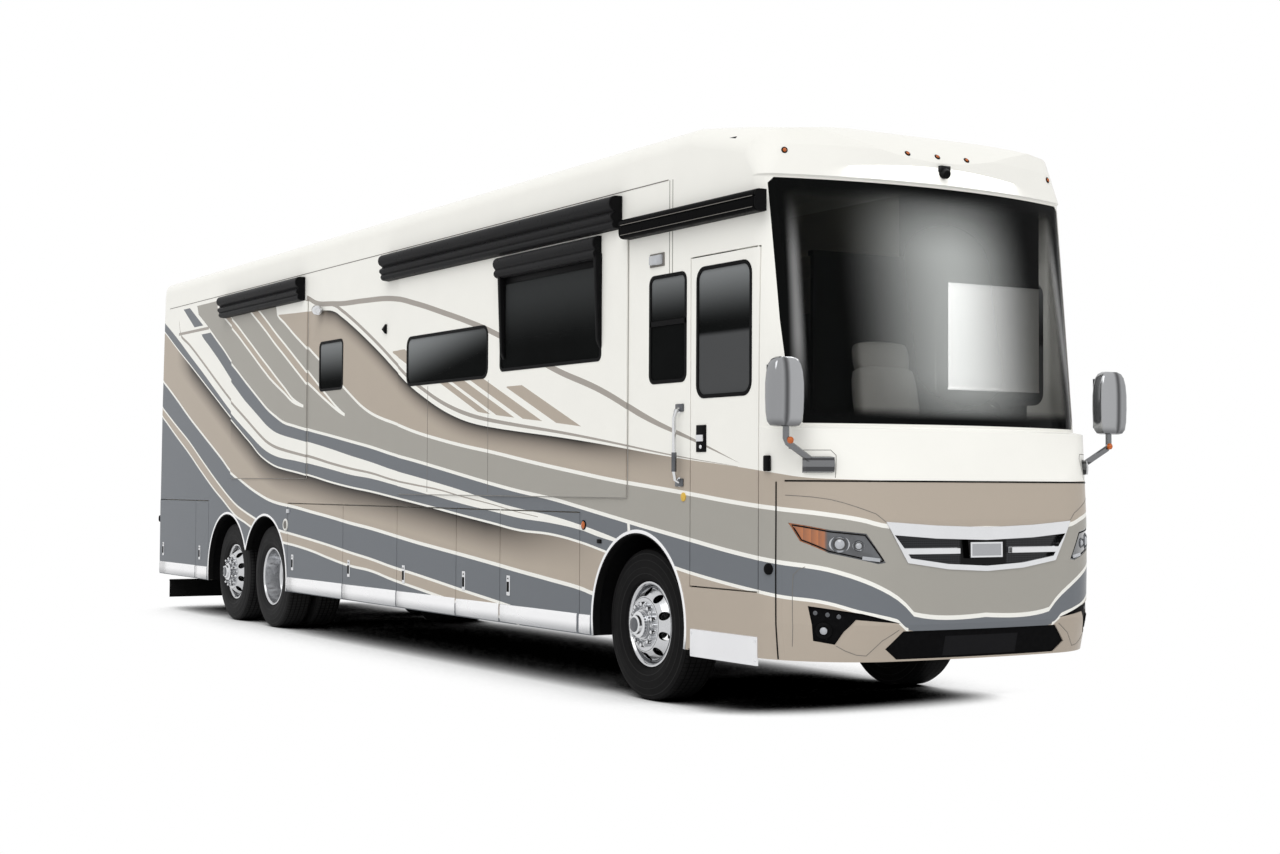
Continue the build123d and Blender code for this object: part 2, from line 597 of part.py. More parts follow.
TAIL_LAMP_X = (1010.0, 1200.0)
TAIL_LAMP_Z = (900.0, 1500.0)
LAMP_DEPTH = 20.0
tail_skin = tail_outer - tail_form(LAMP_DEPTH)
tail_lamp_space = block(TAIL_LAMP_X[0], TAIL_LAMP_X[1], LENGTH - 120, LENGTH + 20, *TAIL_LAMP_Z)
tail_lamp_fit = block(TAIL_LAMP_X[0] + SEAT_GAP, TAIL_LAMP_X[1] - SEAT_GAP, LENGTH - 120, LENGTH + 20,
                      TAIL_LAMP_Z[0] + SEAT_GAP, TAIL_LAMP_Z[1] - SEAT_GAP)
tail_lamp = tail_skin & tail_lamp_fit
notch = block(-RECEIVER_NOTCH, RECEIVER_NOTCH, LENGTH - 200, LENGTH + 20, SKIRT_Z - 10, 560.0)
rear_doors = block(-HALF - 10, HALF + 10, TAIL_START - 10, REAR_BAY_END + RUN_GAP / 2, SKIRT_Z - 10, BELT_Z)
rear_door_zone = clip(rear_doors, block(-HALF + SHELL, HALF - SHELL, TAIL_START - 20, LENGTH, 0, BELT_Z + 10))
rear_cap = clip(tail_shell, engine_hole, engine_sockets, tail_skin & tail_lamp_space,
                tail_skin & mirrored(tail_lamp_space), notch, rear_door_zone)
save("rear_cap", rear_cap)

BROW_LAMP_X = [0.0, 250.0, -250.0, 1120.0, -1120.0]
BROW_LAMP_Z = 3690.0
BROW_LAMP_PROUD = 14.0
SIDE_LAMPS = [(FRONT_AXLE + 776.0, 1213.0), (DRIVE_AXLE - 699.0, 1226.0)]
lamps = [tail_lamp, mirrored(tail_lamp)]
for x in BROW_LAMP_X:
    z = BROW_LAMP_Z - (35.0 if abs(x) > 1000 else 0.0)
    under_lamp = cap_outer & block(x - 45, x + 45, 300, 1000, z - 18, z + 18)
    lamps.append((Pos(0, -BROW_LAMP_PROUD, 0) * under_lamp) - cap_outer)
for side in (RIGHT_SIDE, LEFT_SIDE):
    for station, z in SIDE_LAMPS:
        lamps.append(block(side * HALF, side * (HALF + 12), station - 35, station + 35, z - 20, z + 20))
save("lamps", *lamps)

# ================================================================ slide-out rooms
def slide_room(slide):
    """Room with an open inner side, and the flange that closes it against the wall."""
    side, s0, s1, z0, z1, depth, travel = SLIDES[slide]
    edge = FLANGE_LAP + RUN_GAP
    face = side * SLIDE_FACE
    inner = side * (SLIDE_FACE - depth)
    room = block(face, inner, s0 + edge, s1 - edge, z0 + edge, z1 - edge)
    hollow = block(side * (SLIDE_FACE - WALL), inner - side * 10, s0 + edge + ROOM_WALL, s1 - edge - ROOM_WALL,
                   z0 + edge + ROOM_WALL, z1 - edge - ROOM_WALL)
    flange = block(face, side * (SLIDE_FACE - SLIDE_FLANGE), s0, s1, z0, z1)
    return (room - hollow) + flange


# first and last station, bottom, top, corner radius of the panes in each room
ROOM_WINDOWS = {
    "front_slide": [(4560.0, 6180.0, 2370.0, 2800.0, 85.0), (2700.0, 4340.0, 2410.0, 3130.0, 50.0)],
    "rear_slide": [],
    "left_slide": [(2800.0, 4300.0, 2370.0, 2960.0, 85.0), (4900.0, 6500.0, 2370.0, 2960.0, 85.0),
                   (6950.0, 7700.0, 2370.0, 2960.0, 85.0)],
}
TOPPER_HEIGHT = 240.0
TOPPER_REACH = 95.0
TOPPER_IN = 90.0
TOPPER_PAST = 270.0
WINDOW_AWNING = (2700.0, 4340.0, 3150.0, 3318.0)
WINDOW_AWNING_REACH = 75.0
for slide, windows in ROOM_WINDOWS.items():
    side, s0, s1, z0, z1, depth, travel = SLIDES[slide]
    room = slide_room(slide)
    for a0, a1, b0, b1, radius in windows:
        hole = rounded_window(side * (SLIDE_FACE + 20), side * (SLIDE_FACE - WALL - 20), a0, a1, b0, b1, radius)
        room = room - hole
    topper = block(side * (SLIDE_FACE - SLIDE_FLANGE), side * (SLIDE_FACE + TOPPER_REACH), s0 + TOPPER_IN,
                   s1 + TOPPER_PAST, z1 + SEAT_GAP, z1 + TOPPER_HEIGHT)
    topper = topper.fillet(30, topper.edges().filter_by(Axis.Y))
    awnings = [topper]
    if slide == "front_slide":
        a0, a1, b0, b1 = WINDOW_AWNING
        awnings.append(block(side * SLIDE_FACE, side * (SLIDE_FACE + WINDOW_AWNING_REACH), a0, a1, b0, b1))
    save(slide, room)
    save(slide + "_awnings", *awnings)
    if windows:
        save(slide + "_glass", *[pane(side, *window, SLIDE_FACE) for window in windows])

# ================================================================ chassis and basement
RAIL_X = 430.0
RAIL_HALF = 40.0
RAIL_BOTTOM = 1040.0
RAIL_START = 640.0
RAIL_END = LENGTH - 150.0
CROSS_HALF = 40.0
CROSS_STATIONS = [900.0, BAY_START - 60.0, BAY_START + 2000.0, BAY_START + 4200.0, BAY_END - 60.0, DRIVE_AXLE + 602.0]
RECEIVER_BORE = 50.8
RECEIVER_WALL = 6.35
RECEIVER_HALF = RECEIVER_BORE / 2 + RECEIVER_WALL
RECEIVER_LENGTH = 300.0
RECEIVER_Z = 485.0
HITCH_PIN_RADIUS = 8.0
HITCH_PIN_IN = 60.0
HITCH_PLATE_S = LENGTH - 420.0
chassis = block(RAIL_X - RAIL_HALF, RAIL_X + RAIL_HALF, RAIL_START, RAIL_END, RAIL_BOTTOM, FLOOR_Z)
chassis = chassis + mirrored(chassis)
for station in CROSS_STATIONS:
    chassis = chassis + block(-RAIL_X, RAIL_X, station - CROSS_HALF, station + CROSS_HALF, RAIL_BOTTOM + 40,
                              FLOOR_Z - 40)
for side in (RIGHT_SIDE, LEFT_SIDE):
    chassis = chassis + block(side * (RAIL_X - 10), side * (RAIL_X + 10), HITCH_PLATE_S - 100, HITCH_PLATE_S + 100,
                              RECEIVER_Z - 60, RAIL_BOTTOM)
chassis = chassis + block(-RAIL_X, RAIL_X, HITCH_PLATE_S - 40, HITCH_PLATE_S + 40, RECEIVER_Z - 40, RECEIVER_Z + 40)
chassis = chassis + block(-RECEIVER_HALF, RECEIVER_HALF, HITCH_PLATE_S, LENGTH - 30, RECEIVER_Z - RECEIVER_HALF,
                          RECEIVER_Z + RECEIVER_HALF)
chassis = chassis - block(-RECEIVER_BORE / 2, RECEIVER_BORE / 2, LENGTH - 30 - RECEIVER_LENGTH, LENGTH + 10,
                          RECEIVER_Z - RECEIVER_BORE / 2, RECEIVER_Z + RECEIVER_BORE / 2)
chassis = chassis - rod_x(-RECEIVER_HALF - 5, RECEIVER_HALF + 5, LENGTH - 30 - HITCH_PIN_IN, RECEIVER_Z,
                          HITCH_PIN_RADIUS)
save("chassis_frame", chassis)

BAY_FLOOR_Z = 430.0
BAY_PLATE = 20.0
BAY_HALF = HALF - BAY_DOOR_THICK - RUN_GAP
basement = [block(-BAY_HALF, BAY_HALF, BAY_START - BAY_PLATE, BAY_END + BAY_PLATE, BAY_FLOOR_Z,
                  BAY_FLOOR_Z + BAY_PLATE)]
for edge in right_edges:
    basement.append(block(-BAY_HALF, BAY_HALF, edge - BAY_PLATE / 2, edge + BAY_PLATE / 2,
                          BAY_FLOOR_Z + BAY_PLATE + SEAT_GAP, RAIL_BOTTOM))
save("basement", *basement)

ENGINE = (REAR_BAY_START + 30.0, LENGTH - 640.0, 560.0, 1270.0)
e0, e1, e2, e3 = ENGINE
engine_half = RAIL_X - RAIL_HALF - SEAT_GAP
save("engine_block", block(-engine_half, engine_half, e0, e1, e2, e3))

# ================================================================ floor, steps and runners
FLOOR_START = 700.0
FLOOR_END = LENGTH - 200.0
WELL_X = 640.0
TREAD = 40.0
STEP_RISE = 250.0
STEP_DEPTH = 260.0
RUNNER_WIDTH = 60.0
RUNNER_IN = 450.0
inside = HALF - WALL
first_tread = inside - 20.0
floor = block(-inside, inside, FLOOR_START, FLOOR_END, FLOOR_Z, FLOOR_TOP)
floor = floor - block(-inside - 5, -WELL_X, DOOR_FRONT - 20, DOOR_REAR + 20, FLOOR_Z - 10, FLOOR_TOP + 10)
sill = DOOR_BOTTOM
for number in range(2):
    nose_x = -first_tread + number * STEP_DEPTH
    top = sill + number * STEP_RISE
    back_x = nose_x + STEP_DEPTH
    floor = floor + block(nose_x, back_x + TREAD / 2, DOOR_FRONT - 20, DOOR_REAR + 20, top - TREAD, top)
    floor = floor + block(back_x - TREAD / 2, back_x + TREAD / 2, DOOR_FRONT - 20, DOOR_REAR + 20, top - TREAD,
                          top + STEP_RISE)
floor = floor + block(-first_tread + 2 * STEP_DEPTH, -WELL_X + 20, DOOR_FRONT - 20, DOOR_REAR + 20,
                      FLOOR_TOP - TREAD, FLOOR_TOP)
for slide, (side, s0, s1, z0, z1, depth, travel) in SLIDES.items():
    for station in (s0 + RUNNER_IN, s1 - RUNNER_IN):
        floor = floor + block(side * (HALF - WALL), side * (SLIDE_FACE - depth), station - RUNNER_WIDTH / 2,
                              station + RUNNER_WIDTH / 2, FLOOR_TOP, z0 + FLANGE_LAP + RUN_GAP - SEAT_GAP)
save("floor_deck", floor)

# ================================================================ axles, knuckles and wheels
TYRE_WIDTH = 315.0
TWIN_WIDTH = 290.0
RIM_RADIUS = 285.75         # bead seat of a 22.5 inch wheel
RIM_FLANGE = 298.5
RIM_HALF = 118.0
RIM_LIP = 12.0
DISC_OFFSET = 165.0
DISC_THICK = 12.0
LUG_CIRCLE = 142.9
LUG_COUNT = 10
HAND_HOLE_CIRCLE = 226.0
HAND_HOLE_RADIUS = 29.0
HUB_RADIUS = 104.0
SPINDLE_RADIUS = 35.0
SINGLE_X = 1060.0           # middle of a front or tag wheel
TWIN_OUTER_X = 1070.0
TWIN_INNER_X = TWIN_OUTER_X - 2 * DISC_OFFSET
KINGPIN_X = 930.0
KINGPIN_RADIUS = 25.0
EYE_RADIUS = 38.0
EYE_HALF = 60.0
EAR_RADIUS = 42.0
EAR_HEIGHT = 50.0
EAR_GAP = 1.0
STEER_LIMIT = 45.0


def lathe(points):
    """Solid turned about the X axis from an outline of (x, radius) points."""
    wire = Wire.make_polygon([(x, radius, 0) for x, radius in points], close=True)
    return revolve(Face(wire), Axis.X)


def wheel_rim(outward):
    """Wheel with its disc dished to one side (outward is 1 or -1), centred on the origin."""
    inner = RIM_RADIUS - 8.75
    lip = RIM_HALF - RIM_LIP
    points = [
        (-RIM_HALF, RIM_FLANGE), (-lip, RIM_FLANGE), (-lip, RIM_RADIUS), (lip, RIM_RADIUS), (lip, RIM_FLANGE),
        (RIM_HALF, RIM_FLANGE), (RIM_HALF, RIM_RADIUS), (lip, inner), (68.0, inner), (96.0, 262.0),
        (140.0, 222.0), (DISC_OFFSET - 4, 196.0), (DISC_OFFSET, 180.0), (DISC_OFFSET, 60.0),
        (DISC_OFFSET - DISC_THICK, 60.0), (DISC_OFFSET - DISC_THICK, 180.0), (DISC_OFFSET - 18, 192.0),
        (128.0, 214.0), (84.0, 254.0), (54.0, inner), (-lip, inner), (-RIM_HALF, RIM_RADIUS),
    ]
    rim = lathe(points)
    for number in range(LUG_COUNT):
        angle = math.radians((number + 0.5) * 360 / LUG_COUNT)
        plane = Plane((40, HAND_HOLE_CIRCLE * math.cos(angle), HAND_HOLE_CIRCLE * math.sin(angle)), z_dir=(1, 0, 0))
        rim = rim - Solid.make_cylinder(HAND_HOLE_RADIUS, 160, plane)
    return rim if outward > 0 else rim.mirror(Plane.YZ)


def lugs(x0, x1):
    found = []
    for number in range(LUG_COUNT):
        angle = math.radians(number * 360 / LUG_COUNT)
        plane = Plane((x0, LUG_CIRCLE * math.cos(angle), LUG_CIRCLE * math.sin(angle)), z_dir=(1, 0, 0))
        found.append(Solid.make_cylinder(17.0, x1 - x0, plane))
        found.append(Solid.make_cylinder(10.5, x1 - x0 + 9, plane))
    return found


def turned(x0, x1, radius):
    return Solid.make_cylinder(radius, x1 - x0, Plane((x0, 0, 0), z_dir=(1, 0, 0)))


def tyre(width):
    half = width / 2
    bead = RIM_HALF - RIM_LIP - SEAT_GAP
    points = [
        (-bead, RIM_RADIUS + SEAT_GAP), (bead, RIM_RADIUS + SEAT_GAP), (bead, RIM_FLANGE + 2), (half - 22, 318.0),
        (half - 4, 360.0), (half, 405.0), (half - 5, 455.0), (half - 16, 500.0), (half - 26, 521.0),
        (half - 48, TYRE_RADIUS - 2), (half - 90, TYRE_RADIUS), (-half + 90, TYRE_RADIUS),
        (-half + 48, TYRE_RADIUS - 2), (-half + 26, 521.0), (-half + 16, 500.0), (-half + 5, 455.0),
        (-half, 405.0), (-half + 4, 360.0), (-half + 22, 318.0), (-bead, RIM_FLANGE + 2),
    ]
    return lathe(points)


def placed(shape, x, station):
    return Pos(x, y_of(station), AXLE_Z) * shape


single_rim = wheel_rim(1) + turned(20, 190, HUB_RADIUS) + turned(190, 213, 70)
single_rim = single_rim.fuse(*lugs(DISC_OFFSET, DISC_OFFSET + 25))
single_rim = single_rim - turned(15, 180, SPINDLE_RADIUS + PIN_CLEAR)
single_tyre = tyre(TYRE_WIDTH)
twin_mid = DISC_OFFSET
twin_rim = (Pos(twin_mid, 0, 0) * wheel_rim(-1)) + (Pos(-twin_mid, 0, 0) * wheel_rim(1))
twin_rim = twin_rim + turned(-180, 100, HUB_RADIUS) + turned(100, 125, 62)
twin_rim = twin_rim.fuse(*lugs(DISC_THICK, DISC_THICK + 25))
twin_rim = twin_rim - turned(-200, 85, SPINDLE_RADIUS + 15 + PIN_CLEAR)
twin_tyre = tyre(TWIN_WIDTH)
twin_x = (TWIN_OUTER_X + TWIN_INNER_X) / 2
for name, station in (("front", FRONT_AXLE), ("tag", TAG_AXLE)):
    rim = placed(single_rim, SINGLE_X, station)
    rubber = placed(single_tyre, SINGLE_X, station)
    save(f"{name}_rim_left", rim)
    save(f"{name}_tyre_left", rubber)
    save(f"{name}_rim_right", mirrored(rim))
    save(f"{name}_tyre_right", mirrored(rubber))
rim = placed(twin_rim, twin_x, DRIVE_AXLE)
rubber = [placed(twin_tyre, TWIN_OUTER_X, DRIVE_AXLE), placed(twin_tyre, TWIN_INNER_X, DRIVE_AXLE)]
save("drive_rims_left", rim)
save("drive_rims_right", mirrored(rim))
save("drive_tyres_left", *rubber)
save("drive_tyres_right", *[mirrored(one) for one in rubber])

knuckle = block(976, 1000, FRONT_AXLE - 50, FRONT_AXLE + 50, AXLE_Z - EYE_HALF - EAR_GAP - EAR_HEIGHT,
                AXLE_Z + EYE_HALF + EAR_GAP + EAR_HEIGHT)
for low in (AXLE_Z + EYE_HALF + EAR_GAP, AXLE_Z - EYE_HALF - EAR_GAP - EAR_HEIGHT):
    knuckle = knuckle + block(KINGPIN_X, 1000, FRONT_AXLE - EAR_RADIUS, FRONT_AXLE + EAR_RADIUS, low, low + EAR_HEIGHT)
    knuckle = knuckle + rod_z(KINGPIN_X, FRONT_AXLE, low, low + EAR_HEIGHT, EAR_RADIUS)
knuckle = knuckle + rod_x(1000, SINGLE_X + 175, FRONT_AXLE, AXLE_Z, SPINDLE_RADIUS)
knuckle = knuckle - rod_z(KINGPIN_X, FRONT_AXLE, AXLE_Z - 150, AXLE_Z + 150, KINGPIN_RADIUS + PIN_CLEAR)
save("knuckle_left", knuckle)
save("knuckle_right", mirrored(knuckle))

AIR_SPRING_RADIUS = 110.0


def half_front_axle():
    beam = block(0, KINGPIN_X - 90, FRONT_AXLE - 45, FRONT_AXLE + 45, AXLE_Z - 130, AXLE_Z - 40)
    beam = beam + block(KINGPIN_X - 130, KINGPIN_X - 20, FRONT_AXLE - 38, FRONT_AXLE + 38, AXLE_Z - 130,
                        AXLE_Z + EYE_HALF - 10)
    beam = beam - rod_z(KINGPIN_X, FRONT_AXLE, AXLE_Z - 200, AXLE_Z - EYE_HALF, EAR_RADIUS + 12)
    beam = beam + rod_z(KINGPIN_X, FRONT_AXLE, AXLE_Z - EYE_HALF, AXLE_Z + EYE_HALF, EYE_RADIUS)
    beam = beam + rod_z(KINGPIN_X, FRONT_AXLE, AXLE_Z - 125, AXLE_Z + 125, KINGPIN_RADIUS)
    return beam + rod_z(RAIL_X, FRONT_AXLE, AXLE_Z - 40, RAIL_BOTTOM - SEAT_GAP, AIR_SPRING_RADIUS)


def half_rear_axle(station, spindle_radius, tube_end, spindle_end, centre_radius):
    beam = rod_x(0, tube_end, station, AXLE_Z, 75) + rod_x(tube_end, spindle_end, station, AXLE_Z, spindle_radius)
    beam = beam + rod_x(0, 160, station, AXLE_Z, centre_radius)
    beam = beam + block(RAIL_X - 55, RAIL_X + 55, station - 420, station + 420, AXLE_Z - 40, AXLE_Z + 40)
    for offset in (-310, 310):
        beam = beam + rod_z(RAIL_X, station + offset, AXLE_Z + 40, RAIL_BOTTOM - SEAT_GAP, AIR_SPRING_RADIUS)
    return beam


half_axles = [
    half_front_axle(),
    half_rear_axle(DRIVE_AXLE, SPINDLE_RADIUS + 15, TWIN_INNER_X - 155, twin_x + 80, 215),
    half_rear_axle(TAG_AXLE, SPINDLE_RADIUS, SINGLE_X - 165, SINGLE_X + 175, 75),
]
save("axle_beams", *[half + mirrored(half) for half in half_axles])

# ================================================================ fittings
MIRROR_ELBOW = (1350.0, 300.0, 1795.0)
MIRROR_FOOT = (1110.0, 325.0, 1650.0)
MIRROR_FOOT_PROUD = 40.0
mirror_head = block(1238, 1482, 235, 365, 1873, 2302)
mirror_head = mirror_head.fillet(52, mirror_head.edges())
mirror_arm = rod_between(MIRROR_FOOT, MIRROR_ELBOW, 22) + rod_between(MIRROR_ELBOW, (1350, 300, 1900), 22)
mirror_arm = mirror_arm + Pos(MIRROR_ELBOW[0], y_of(MIRROR_ELBOW[1]), MIRROR_ELBOW[2]) * Sphere(22)
mirror_foot = front_form(CAP_SECTIONS[:2], -MIRROR_FOOT_PROUD, True) & block(1045, 1185, 100, 560, 1588, 1695)
mirror = (mirror_arm + mirror_head + mirror_foot) - cap_outer
mirror = max(mirror.solids(), key=lambda solid: solid.volume)
save("mirrors", mirror, mirrored(mirror))

DOOR_AWNING = (612.0, 2325.0, 3246.0, 3386.0)
a0, a1, b0, b1 = DOOR_AWNING
awning_case = block(-HALF - 95, -HALF, a0, a1, b0, b1)
save("door_awning", awning_case.fillet(40, awning_case.edges().filter_by(Axis.Y).group_by(Axis.X)[0]))

SEAT_STATION = 1750.0
seats = []
for x in (-720.0, 760.0):
    pedestal = block(x - 150, x + 150, SEAT_STATION - 150, SEAT_STATION + 250, FLOOR_TOP, 1640)
    cushion = block(x - 270, x + 270, SEAT_STATION - 300, SEAT_STATION + 280, 1640, 1800)
    back = prism_side([(SEAT_STATION + 180, 1790), (SEAT_STATION + 320, 1790), (SEAT_STATION + 430, 2400),
                       (SEAT_STATION + 310, 2400)], x - 265, x + 265)
    head = block(x - 150, x + 150, SEAT_STATION + 320, SEAT_STATION + 430, 2390, 2590)
    seats.append(pedestal + cushion + back + head)
save("seats", *seats)

dash = prism_side([(200, 1600), (200, 1895), (560, 1900), (800, 1830), (820, 1700), (740, 1600)], -1130, 1130)
dash = dash & front_form(CAP_SECTIONS[:3] + [(1905.0, 195.6, 1052.0, 190.0)], SHELL + SEAT_GAP, True)
WHEEL_X = 740.0
STEERING_RADIUS = 225.0
column = rod_between((WHEEL_X, 800, 1750), (WHEEL_X, 1010, 1935), 35)
tilt = Plane((WHEEL_X, y_of(1010), 1935), x_dir=(1, 0, 0), z_dir=(0, 210, 185))
ring = Solid.make_torus(STEERING_RADIUS, 17, tilt)
spoke = Plane(tilt.origin, x_dir=tilt.x_dir, z_dir=tilt.z_dir) * Box(2 * STEERING_RADIUS, 40, 16)
steering = ring + spoke
dashboard = dash + column + tilt * Cylinder(60, 60)
dashboard = dashboard + steering
save("dashboard", dashboard)

PARTITION = 7600.0
save("partition", block(-HALF + WALL, -200, PARTITION - 20, PARTITION + 20, FLOOR_TOP, ROOF_EDGE_Z - ROOF_THICK - 10))
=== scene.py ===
import math

import bmesh
import bpy
from mathutils import Matrix, Vector
from mathutils.bvhtree import BVHTree


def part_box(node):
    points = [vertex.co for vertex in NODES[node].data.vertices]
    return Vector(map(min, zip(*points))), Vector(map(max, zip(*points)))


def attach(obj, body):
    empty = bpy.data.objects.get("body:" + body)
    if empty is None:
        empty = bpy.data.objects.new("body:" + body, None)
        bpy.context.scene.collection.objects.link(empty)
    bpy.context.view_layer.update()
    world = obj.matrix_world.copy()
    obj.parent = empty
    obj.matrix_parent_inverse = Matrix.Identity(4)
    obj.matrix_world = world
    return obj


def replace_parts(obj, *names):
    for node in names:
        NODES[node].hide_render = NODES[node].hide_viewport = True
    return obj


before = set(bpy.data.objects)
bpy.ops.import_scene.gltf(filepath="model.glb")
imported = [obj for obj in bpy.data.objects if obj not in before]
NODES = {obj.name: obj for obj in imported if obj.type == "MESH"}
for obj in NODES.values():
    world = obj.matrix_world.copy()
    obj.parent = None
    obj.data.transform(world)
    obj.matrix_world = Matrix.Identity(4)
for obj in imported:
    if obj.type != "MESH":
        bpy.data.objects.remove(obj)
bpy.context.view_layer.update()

# ---------------------------------------------------------------- main places, metres
LENGTH = 13.690
HALF_LENGTH = LENGTH / 2    # station (distance from the nose) minus this gives y
HALF = 1.284                # half of the body's width
SLIDE_FACE = 1.299          # outer face of a slide-out room
BOTH = (("right", -1), ("left", 1))
FULL_TURN = 2 * math.pi


def y_of(station):
    return station - HALF_LENGTH


# ---------------------------------------------------------------- node building
class Wire:
    """A value inside a node tree. Arithmetic and comparisons on it make Math nodes; | takes the larger."""

    def __init__(self, socket):
        self.socket = socket

    def math(self, operation, *others, first=None):
        made = self.socket.id_data.nodes.new("ShaderNodeMath")
        made.operation = operation
        for socket, value in zip(made.inputs, (*([] if first is None else [first]), self, *others)):
            feed(value, socket)
        return Wire(made.outputs[0])

    def __add__(self, other):
        return self.math("ADD", other)

    def __sub__(self, other):
        return self.math("SUBTRACT", other)

    def __rsub__(self, other):
        return self.math("SUBTRACT", first=other)

    def __mul__(self, other):
        return self.math("MULTIPLY", other)

    def __truediv__(self, other):
        return self.math("DIVIDE", other)

    def __pow__(self, other):
        return self.math("POWER", other)

    def __lt__(self, other):
        return self.math("LESS_THAN", other)

    def __gt__(self, other):
        return self.math("GREATER_THAN", other)

    def __or__(self, other):
        return self.math("MAXIMUM", other)

    def __abs__(self):
        return self.math("ABSOLUTE")

    def __mod__(self, period):
        """The fraction of a period, from 0 to 1."""
        return (self if period == 1 else self / period).math("FRACT")

    def fit(self, factor, plus):
        return self.math("MULTIPLY_ADD", factor, plus)


def feed(value, socket):
    if isinstance(value, Wire):
        value.socket.id_data.links.new(value.socket, socket)
    else:
        socket.default_value = value


def fill(node, values):
    for key, value in values.items():
        feed(value, node.inputs[key])


def ramp(value, low, high):
    """0 at low, 1 at high, straight between, also where low is the larger."""
    made = value.socket.id_data.nodes.new("ShaderNodeMapRange")
    made.clamp = True
    fill(made, {0: value, 1: low, 2: high, 3: 0.0, 4: 1.0})
    return Wire(made.outputs[0])


def round_step(value, low, high):
    """Smooth step from 0 at low to 1 at high."""
    part = ramp(value, low, high)
    return part * part * part.fit(-2.0, 3.0)


def band(value, low, high):
    return (value > low) * (value < high)


def near(value, middle, half_width):
    return abs(value - middle) < half_width


def distance(a, b):
    return (a * a + b * b).math("SQRT")


def mix(factor, first, second):
    made = factor.socket.id_data.nodes.new("ShaderNodeMix")
    made.data_type = "RGBA"
    fill(made, {0: factor, 6: first, 7: second})
    return Wire(made.outputs[2])


def layered(colour, *layers):
    """A colour with others laid over it, each given as (where, colour)."""
    for where, other in layers:
        colour = mix(where, colour, other)
    return colour


def curve(value, points, low, high, top, straight=False):
    """Height at a value on the curve through points, which lie between low and high and under top."""
    made = value.socket.id_data.nodes.new("ShaderNodeFloatCurve")
    line = made.mapping.curves[0]
    places = [((place - low) / (high - low), height / top) for place, height in points]
    line.points[0].location, line.points[1].location = places[0], places[-1]
    for place in places[1:-1]:
        line.points.new(*place)
    if straight:
        for point in line.points:
            point.handle_type = "VECTOR"
    else:
        made.mapping.extend = "HORIZONTAL"
    made.mapping.update()
    feed((value - low if low else value) / (high - low), made.inputs["Value"])
    return Wire(made.outputs[0]) * top


class Graph:
    """The shader nodes of one tree, with places and textures as wires."""

    def __init__(self, tree):
        self.tree = tree
        tree.nodes.clear()
        self.place = None

    def node(self, kind, values=None, **settings):
        made = self.tree.nodes.new(kind)
        for key, value in settings.items():
            setattr(made, key, value)
        fill(made, values or {})
        return made

    def axes(self):
        """x, y and z of the row frame at rest, in metres, also in a pose."""
        if self.place is None:
            self.place = Wire(self.node("ShaderNodeTexCoord").outputs["Object"])
            split = self.node("ShaderNodeSeparateXYZ", {0: self.place})
            self.xyz = [Wire(output) for output in split.outputs]
        return self.xyz

    def stretched(self, stretch):
        self.axes()
        if stretch == EVEN:
            return self.place
        scaled = self.node("ShaderNodeVectorMath", {0: self.place, 1: stretch}, operation="MULTIPLY")
        return Wire(scaled.outputs[0])

    def noise(self, scale, detail=2.0, stretch=(1.0, 1.0, 1.0)):
        return Wire(self.node("ShaderNodeTexNoise", {"Vector": self.stretched(stretch), "Scale": scale,
                                                     "Detail": detail, "Roughness": 0.5}).outputs["Fac"])

    def cells(self, scale):
        return Wire(self.node("ShaderNodeTexVoronoi", {"Vector": self.stretched(EVEN), "Scale": scale})
                    .outputs["Distance"])

    def bump(self, height, depth, strength=1.0):
        return Wire(self.node("ShaderNodeBump", {"Strength": strength, "Distance": depth, "Height": height})
                    .outputs["Normal"])


def shade(level):
    """Linear value of an 0-255 level."""
    part = level / 255
    return part / 12.92 if part <= 0.04045 else ((part + 0.055) / 1.055) ** 2.4


def rgb(red, green, blue):
    return (shade(red), shade(green), shade(blue), 1.0)


def grey(level, blue=0):
    return rgb(level, level, level + blue)


EVEN = (1.0, 1.0, 1.0)
BLACK = (0.0, 0.0, 0.0, 1.0)


def surface(name, base, roughness, normal=None, **values):
    """A material with one Principled surface; each value may be a function of the graph."""
    material = bpy.data.materials.new(name)
    material.use_nodes = True
    graph = Graph(material.node_tree)
    shader = graph.node("ShaderNodeBsdfPrincipled")
    graph.node("ShaderNodeOutputMaterial", {0: Wire(shader.outputs[0])})
    values = {key.replace("_", " "): value for key, value in values.items()}
    values.update({"Base Color": base, "Roughness": roughness} | ({"Normal": normal} if normal else {}))
    fill(shader, {key: value(graph) if callable(value) else value for key, value in values.items()})
    return material


def varied(colour, scale, amount, other=BLACK, stretch=EVEN):
    return lambda graph: mix(graph.noise(scale, 4.0, stretch) * amount, colour, other)


def rough(low, high, scale):
    return lambda graph: graph.noise(scale, 3.0).fit(high - low, low)


def bumpy(scale, depth, strength=0.5):
    return lambda graph: graph.bump(graph.noise(scale, 3.0), depth, strength)


def plain(name, colour, grain, roughness, bumps=None, **values):
    """A material of one colour: grain is varied()'s, roughness rough()'s and bumps bumpy()'s numbers."""
    return surface(name, varied(colour, *grain), rough(*roughness), bumpy(*bumps) if bumps else None, **values)


# ---------------------------------------------------------------- livery
WHITE = rgb(243, 242, 236)
TAN = rgb(180, 169, 156)
WARM_GREY = rgb(165, 162, 155)
SLATE = rgb(114, 118, 123)
TAUPE_LINE = rgb(166, 160, 153)
NEAR_BLACK = rgb(14, 10, 14)
INNER = rgb(200, 195, 184)
# dark grey painted shade on the inner faces inside the cab
CAB_PAINTED_SHADE = grey(34)

WRAP_START, WRAP_END = -1.4, 15.2   # the curves run over stations wrapped round the corners
CURVE_TOP = 4.0

